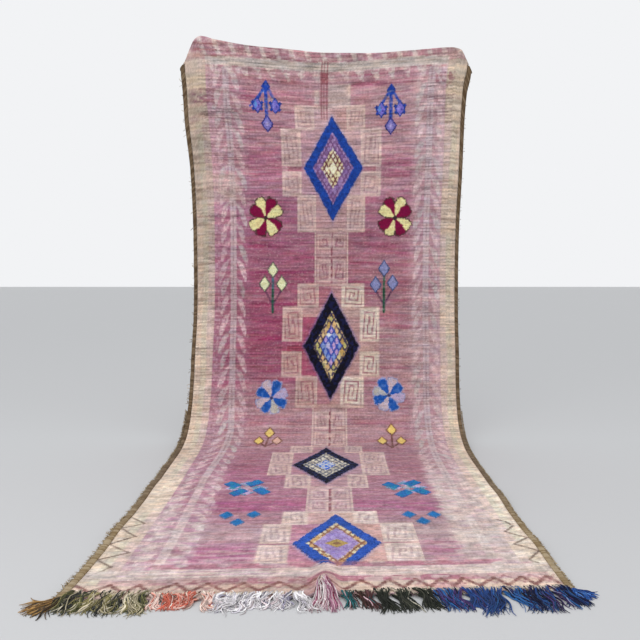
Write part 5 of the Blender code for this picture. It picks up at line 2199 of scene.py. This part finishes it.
    def diamond(self, d: Diamond, number: int) -> None:
        """Lozenge of rings: a shaggy border, a lattice ring and a heart.

        Places are measured along the two pairs of sides, pushed about by noise. Lattice
        lines run where either measure is near a whole number of cells, and each cell
        takes its own colour.

        Args:
            d: Its sizes and colours.
            number: Number of its pattern of chance.
        """
        grow = 1.15
        at, u, v = self.near(d.u - grow * d.half, d.u + grow * d.half,
                             max(d.v - grow * d.reach, HIDDEN_TIP), d.v + grow * d.reach)
        du, dv = (u - d.u) / d.half, (v - d.v) / d.reach
        shag = 0.05 * (cloud(u / 0.014, v / 0.018, 80 + number) - 0.5)
        r = np.abs(du) + np.abs(dv) + shag
        soft = EDGE / d.half
        self.lay(at, 0.55 * ramp(r, 1.13, 1.00), d.glow)
        tuft = ramp(cloud(u / 0.011, v / 0.012, 84 + number), 0.40, 0.72)
        border = mix(*d.border_colours, tuft)
        self.lay(at, (1.0 - r) / soft + 0.5, border, 0.004)
        push = 0.30 * (cloud(u / 0.030, v / 0.040, 94 + number) - 0.5)
        a, b = (du + dv) / d.lattice + push, (du - dv) / d.lattice - push
        near = np.minimum(np.abs(a - np.round(a)), np.abs(b - np.round(b)))
        cell = scatter(np.floor(a), np.floor(b), 90 + number)
        line = ramp(near, 0.24, 0.10) * ramp(cloud(u / 0.012, v / 0.016, 97), 0.15, 0.45)
        for limit, colours, ink in ((d.border, d.ring_colours, d.ring_line),
                                    (d.inner, d.heart_colours, d.heart_line)):
            choice = np.minimum((cell * len(colours)).astype(int), len(colours) - 1)
            tone = np.stack([rgb(colour) for colour in colours])[choice]
            tone = mix(tone, ink, 0.85 * line)
            self.lay(at, (limit - r) / soft + 0.5, tone, 0.002)
        for half, reach, colour in d.kernels:
            self.lozenge(d.u, d.v, half, reach, colour)

    def flower(self, f: Flower) -> None:
        """Petals round a heart, each first as a wider dark wedge, then in its colour.

        Args:
            f: Its sizes and colours.
        """
        away, half_long, half_wide = f.size
        for petal in f.petals:
            flat = self.shortening(petal.turn)
            wider = (away * flat, (half_long + 0.005) * flat, half_wide + 0.0055)
            self.petal(f.u, f.v, petal.turn, wider, f.outline, 0.90)
        for petal in f.petals:
            flat = self.shortening(petal.turn)
            size = (away * flat, half_long * flat, half_wide)
            self.petal(f.u, f.v, petal.turn, size, petal.colour, petal.strength)
        reach = away + half_long
        at, u, v = self.near(f.u - reach, f.u + reach, f.v - reach, f.v + reach)
        spots = ramp(cloud(u / 0.013, v / 0.015, 77), 0.55, 0.80) * (self.pile[at] > RAISED)
        self.colour[at] = mix(self.colour[at], f.fleck, f.flecked * spots)
        self.lozenge(f.u, f.v, f.heart_radius * 1.4, f.heart_radius * 1.4, f.heart)

    def shortening(self, turn: float) -> float:
        """Length of a petal by its heading: those across and straight down are shorter."""
        c, s = math.cos(math.radians(turn)), math.sin(math.radians(turn))
        return 0.84 if abs(c) > 0.75 or s < -0.85 else 0.95

    def bud(self, u: float, v: float, size: tuple[float, float],
            outline: str, fill: str) -> None:
        """Lozenge with a blunt foot and a dark outline.

        Args:
            u: Its middle across.
            v: Its middle along.
            size: Half width and half length.
            outline: Colour of its outline.
            fill: Its own colour.
        """
        half, reach = size
        for grow, colour in ((0.007, outline), (0.0, fill)):
            self.lozenge(u, v, half + grow, reach + grow * 1.3, colour)
            self.lozenge(u, v - reach * 0.30, half * 0.85 + grow, reach * 0.62 + grow, colour)

    def sprigs(self) -> None:
        """Blue hanging sprig in each upper corner of the field."""
        for u, v, low, spread in SPRIGS:
            self.lozenge(u, v - 0.020, 0.027, 0.038, COBALT)
            self.lozenge(u - 0.010, v - 0.048, 0.010, 0.010, "8FA9D8")
            self.stroke((u, v), (u, low), 0.019, COBALT)
            for side in (-1.0, 1.0):
                self.stroke((u, v - 0.010), (u + side * spread, v - 0.095), 0.014, COBALT)
                if side < 0 and u < 0:
                    self.stroke((u, v - 0.02), (u - 0.089, v - 0.130), 0.009, COBALT)
                head = u + side * spread
                for du, dv in ((-0.026, 0.014), (0.026, 0.014), (-0.022, -0.020), (0.022, -0.020)):
                    self.lozenge(head + du, v - 0.122 + dv, 0.012, 0.014, COBALT)
                self.bud(head, v - 0.122, (0.025, 0.040), COBALT, "7B70C4")
                self.lozenge(head - 0.009, v - 0.118, 0.012, 0.030,
                               "5F8BCB" if side < 0 else "8E84CE")
                self.lozenge(head + 0.008, v - 0.128, 0.007, 0.012, "39378C")
            self.bud(u, low, (0.029, 0.043), "2A2F80", "7F78B8")
            self.bud(u, low, (0.010, 0.014), "9A8CC8", "B7A9D4")

    def tulips(self) -> None:
        """Pair of tulips with three buds each."""
        for u, top, left, right, fill, edge, stem in TULIPS:
            self.stroke((u, top), (u, 2.585), 0.014, stem)
            for bud in (left, right):
                away = 1.15 * (bud[0] - u)
                self.stroke((u + away, bud[1] - 0.020), (u, 2.615), 0.010, "55334E")
            for bud_u, bud_v in ((u, top), left, right):
                self.bud(bud_u, bud_v, (0.029, 0.042), edge, fill)
            self.stroke((u, 2.70), (u, 2.575), 0.014, "1F4A38")

    def buds(self) -> None:
        """Three yellow buds on a V in each side of the field, at the bend."""
        for base, heads in BUD_PLANTS:
            for number, head in enumerate(heads):
                self.stroke(base, head, 0.011, "6E4640")
                fill = "DDB2A2" if number == 2 and base[0] < 0 else OCHRE
                self.bud(*head, (0.026, 0.042), "86604E", fill)

    def floor_flowers(self) -> None:
        """Turquoise flower and a V of lozenges on each side of the floor run."""
        for u in (-0.335, 0.370):
            for du, dv in ((-0.055, 0.0), (0.055, 0.0), (0.0, 0.062), (0.0, -0.062)):
                self.lozenge(u + du, 1.040 + dv, 0.044, 0.042, "C0A6C8")
            self.lozenge(u, 1.040, 0.030, 0.034, "C3A5B4")
        for u, v in FLOOR_PETALS:
            turn = 1.0 if (u + (0.335 if u < 0 else -0.370)) * (v - 1.040) > 0 else -1.0
            for step, size in ((-1.0, 0.92), (0.0, 1.0), (1.0, 0.92)):
                place = (u + 0.011 * step, v + 0.012 * step * turn)
                self.lozenge(*place, 0.037 * size, 0.050 * size, "3B63A6")
                self.lozenge(*place, 0.031 * size, 0.044 * size, TURQUOISE)
            at, us, vs = self.near(u - 0.05, u + 0.05, v - 0.07, v + 0.07)
            spots = ramp(cloud(us / 0.014, vs / 0.022, 75), 0.45, 0.75)
            self.lay(at, 0.45 * spots * (self.pile[at] > RAISED), "2C8C9C", 0.002)
        for u, v in FLOOR_LOZENGES:
            self.bud(u, v, (0.025, 0.038), "5F7FB0", TURQUOISE)


def drawn(u: Array, v: Array) -> RugDrawing:
    """The whole drawing at places on the cloth.

    Args:
        u: Places across the cloth, from its middle.
        v: Places along the cloth, from its hem.

    Returns:
        The finished drawing.
    """
    drawing = RugDrawing(u.reshape(-1), v.reshape(-1))
    drawing.paint()
    return drawing


def cloth_colour(u: Array, v: Array, worn: bool) -> Array:
    """sRGB colour of each place, on the pile or, worn flat, on the back.

    Args:
        u: Places across the cloth, from its middle.
        v: Places along the cloth, from its hem.
        worn: Whether it is the back.

    Returns:
        Colours, in the shape of u.
    """
    drawing = drawn(u, v)
    if worn:
        drawing.colour[:] = mix(drawing.colour, "B8A3A0", np.full(len(drawing.u), 0.45))
    drawing.wear_and_groove_shade()
    return drawing.colour.reshape(*u.shape, 3)


def pile_relief(u: Array, v: Array) -> Array:
    """Height of the pile over its mean at each place: its motifs and slow unevenness.

    Args:
        u: Places across the cloth, from its middle.
        v: Places along the cloth, from its hem.

    Returns:
        Heights.
    """
    uneven = 0.5 * cloud(u / 0.014, v / 0.009, 41) + cloud(u / 0.090, v / 0.018, 42) - 0.75
    return drawn(u, v).pile.reshape(u.shape) + 0.0016 * uneven


@dataclass
class Studio:
    """Plain pale floor, soft light and the camera at the photo's angle."""

    shift: Array
    floor_half: float = 30.0
    floor_drop: float = 0.0006
    camera_height: float = 0.985
    camera_y: float = -4.10
    pitch_deg: float = 4.3
    lens: float = 41.2

    def build(self) -> None:
        """Add the floor, the lights and the camera."""
        bpy.context.scene.view_settings.view_transform = "Standard"
        mesh = bpy.data.meshes.new("studio_floor")
        turns = ((-1, -1), (1, -1), (1, 1), (-1, 1))
        corners = [(a * self.floor_half, b * self.floor_half, -self.floor_drop) for a, b in turns]
        mesh.from_pydata(corners, [], [(0, 1, 2, 3)])
        material = bpy.data.materials.new("pale studio floor")
        material.use_nodes = True
        shader = material.node_tree.nodes["Principled BSDF"]
        shader.inputs["Base Color"].default_value = linear("C4C5C6")
        shader.inputs["Roughness"].default_value = 0.7
        mesh.materials.append(material)
        floor = bpy.data.objects.new("studio_floor", mesh)
        bpy.context.collection.objects.link(floor)
        world = bpy.data.worlds.new("white studio")
        world.use_nodes = True
        world.node_tree.nodes["Background"].inputs["Color"].default_value = linear("F2F3F5")
        world.node_tree.nodes["Background"].inputs["Strength"].default_value = 1.0
        bpy.context.scene.world = world
        lamps = [self.lamp("key", (-1.8, -3.4, 3.2), (0.0, 0.4, 1.0), 3.0, 60.0),
                 self.lamp("top", (0.6, -1.0, 4.2), (0.0, 0.2, 0.4), 3.0, 16.0)]
        self.camera()

    def lamp(self, name: str, place: tuple[float, float, float],
             aim: tuple[float, float, float], size: float, power: float) -> bpy.types.Object:
        """Add a soft square light that faces a point.

        Args:
            name: Name of the light.
            place: Where it hangs.
            aim: Point that it faces.
            size: Side of the square.
            power: Watts.

        Returns:
            The light.
        """
        light = bpy.data.lights.new(name, "AREA")
        light.size = size
        light.energy = power
        obj = bpy.data.objects.new(name, light)
        obj.location = place
        way = np.array(aim) - np.array(place)
        flat = math.hypot(way[0], way[1])
        obj.rotation_euler = (math.pi / 2.0 + math.atan2(way[2], flat), 0.0,
                              math.atan2(way[1], way[0]) - math.pi / 2.0)
        bpy.context.collection.objects.link(obj)
        return obj

    def camera(self) -> None:
        """Add the camera that sees the rug as the photo does."""
        data = bpy.data.cameras.new("photo view")
        data.lens = self.lens
        data.sensor_width = 36.0
        camera = bpy.data.objects.new("photo view", data)
        camera.location = (self.shift[0], self.shift[1] + self.camera_y, self.camera_height)
        camera.rotation_euler = (math.pi / 2.0 - math.radians(self.pitch_deg), 0.0, 0.0)
        bpy.context.collection.objects.link(camera)
        bpy.context.scene.camera = camera


def main() -> None:
    """Build every visible surface of the rug and its studio."""
    logging.basicConfig(level=logging.INFO, format="%(name)s: %(message)s")
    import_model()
    path = ClothPath()
    path.settle()
    LOG.info("shift into the frame: %s", path.shift)
    # Matte, finely mottled wool in soft domes of about one knot each.
    pile_wool = WoolFinish("hand-knotted wool pile", knot_mm=5.0, knot_bump_mm=1.2)
    # Finer fibre than the pile has and no domes, as on cut ends.
    tuft_wool = WoolFinish("cut ends of raised knots", fibre_mm=1.4, bump_mm=0.5)
    # Weaker mottling and low relief, so the back looks flat.
    back_wool = WoolFinish("flat woven back", fibre_contrast=0.15, bump_mm=0.4)
    # Strong light and dark mottling, so the wraps look coarse.
    edge_wool = WoolFinish("overcast brown goat wool", fibre_mm=1.6, fibre_contrast=0.28)
    # Fine mottling with low relief, so each yarn looks spun.
    yarn_wool = WoolFinish("loose knotted yarn", fibre_mm=1.2, fibre_contrast=0.25, bump_mm=0.5)

    coarse = 1
    columns, pitch = PILE_COLUMNS // coarse, PILE_PITCH * coarse
    pile = Sheet(path, columns, pitch, 0.005, -0.003).build("pile", pile_wool, "pile")
    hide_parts("rug")
    back = Sheet(path, columns // 2, pitch * 2.0, -0.005, -0.0033)
    back = back.build("woven_back", back_wool, "pile")
    knots = RaisedKnots(path, TUFT_PITCH * coarse).build(tuft_wool)
    for node, side in (("binding_left", Hand.LEFT), ("binding_right", Hand.RIGHT)):
        binding = Binding(path, side).build(node + "_wraps", edge_wool)
        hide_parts(node)
    fringe = Fringe(path)
    ends = [fringe.group(g, yarn_wool, 20 + i) for i, g in enumerate(GROUPS)]
    ends += [fringe.tassel(t, yarn_wool, 40 + i) for i, t in enumerate(TASSELS)]
    Studio(path.shift).build()


if __name__ == "__main__":
    main()
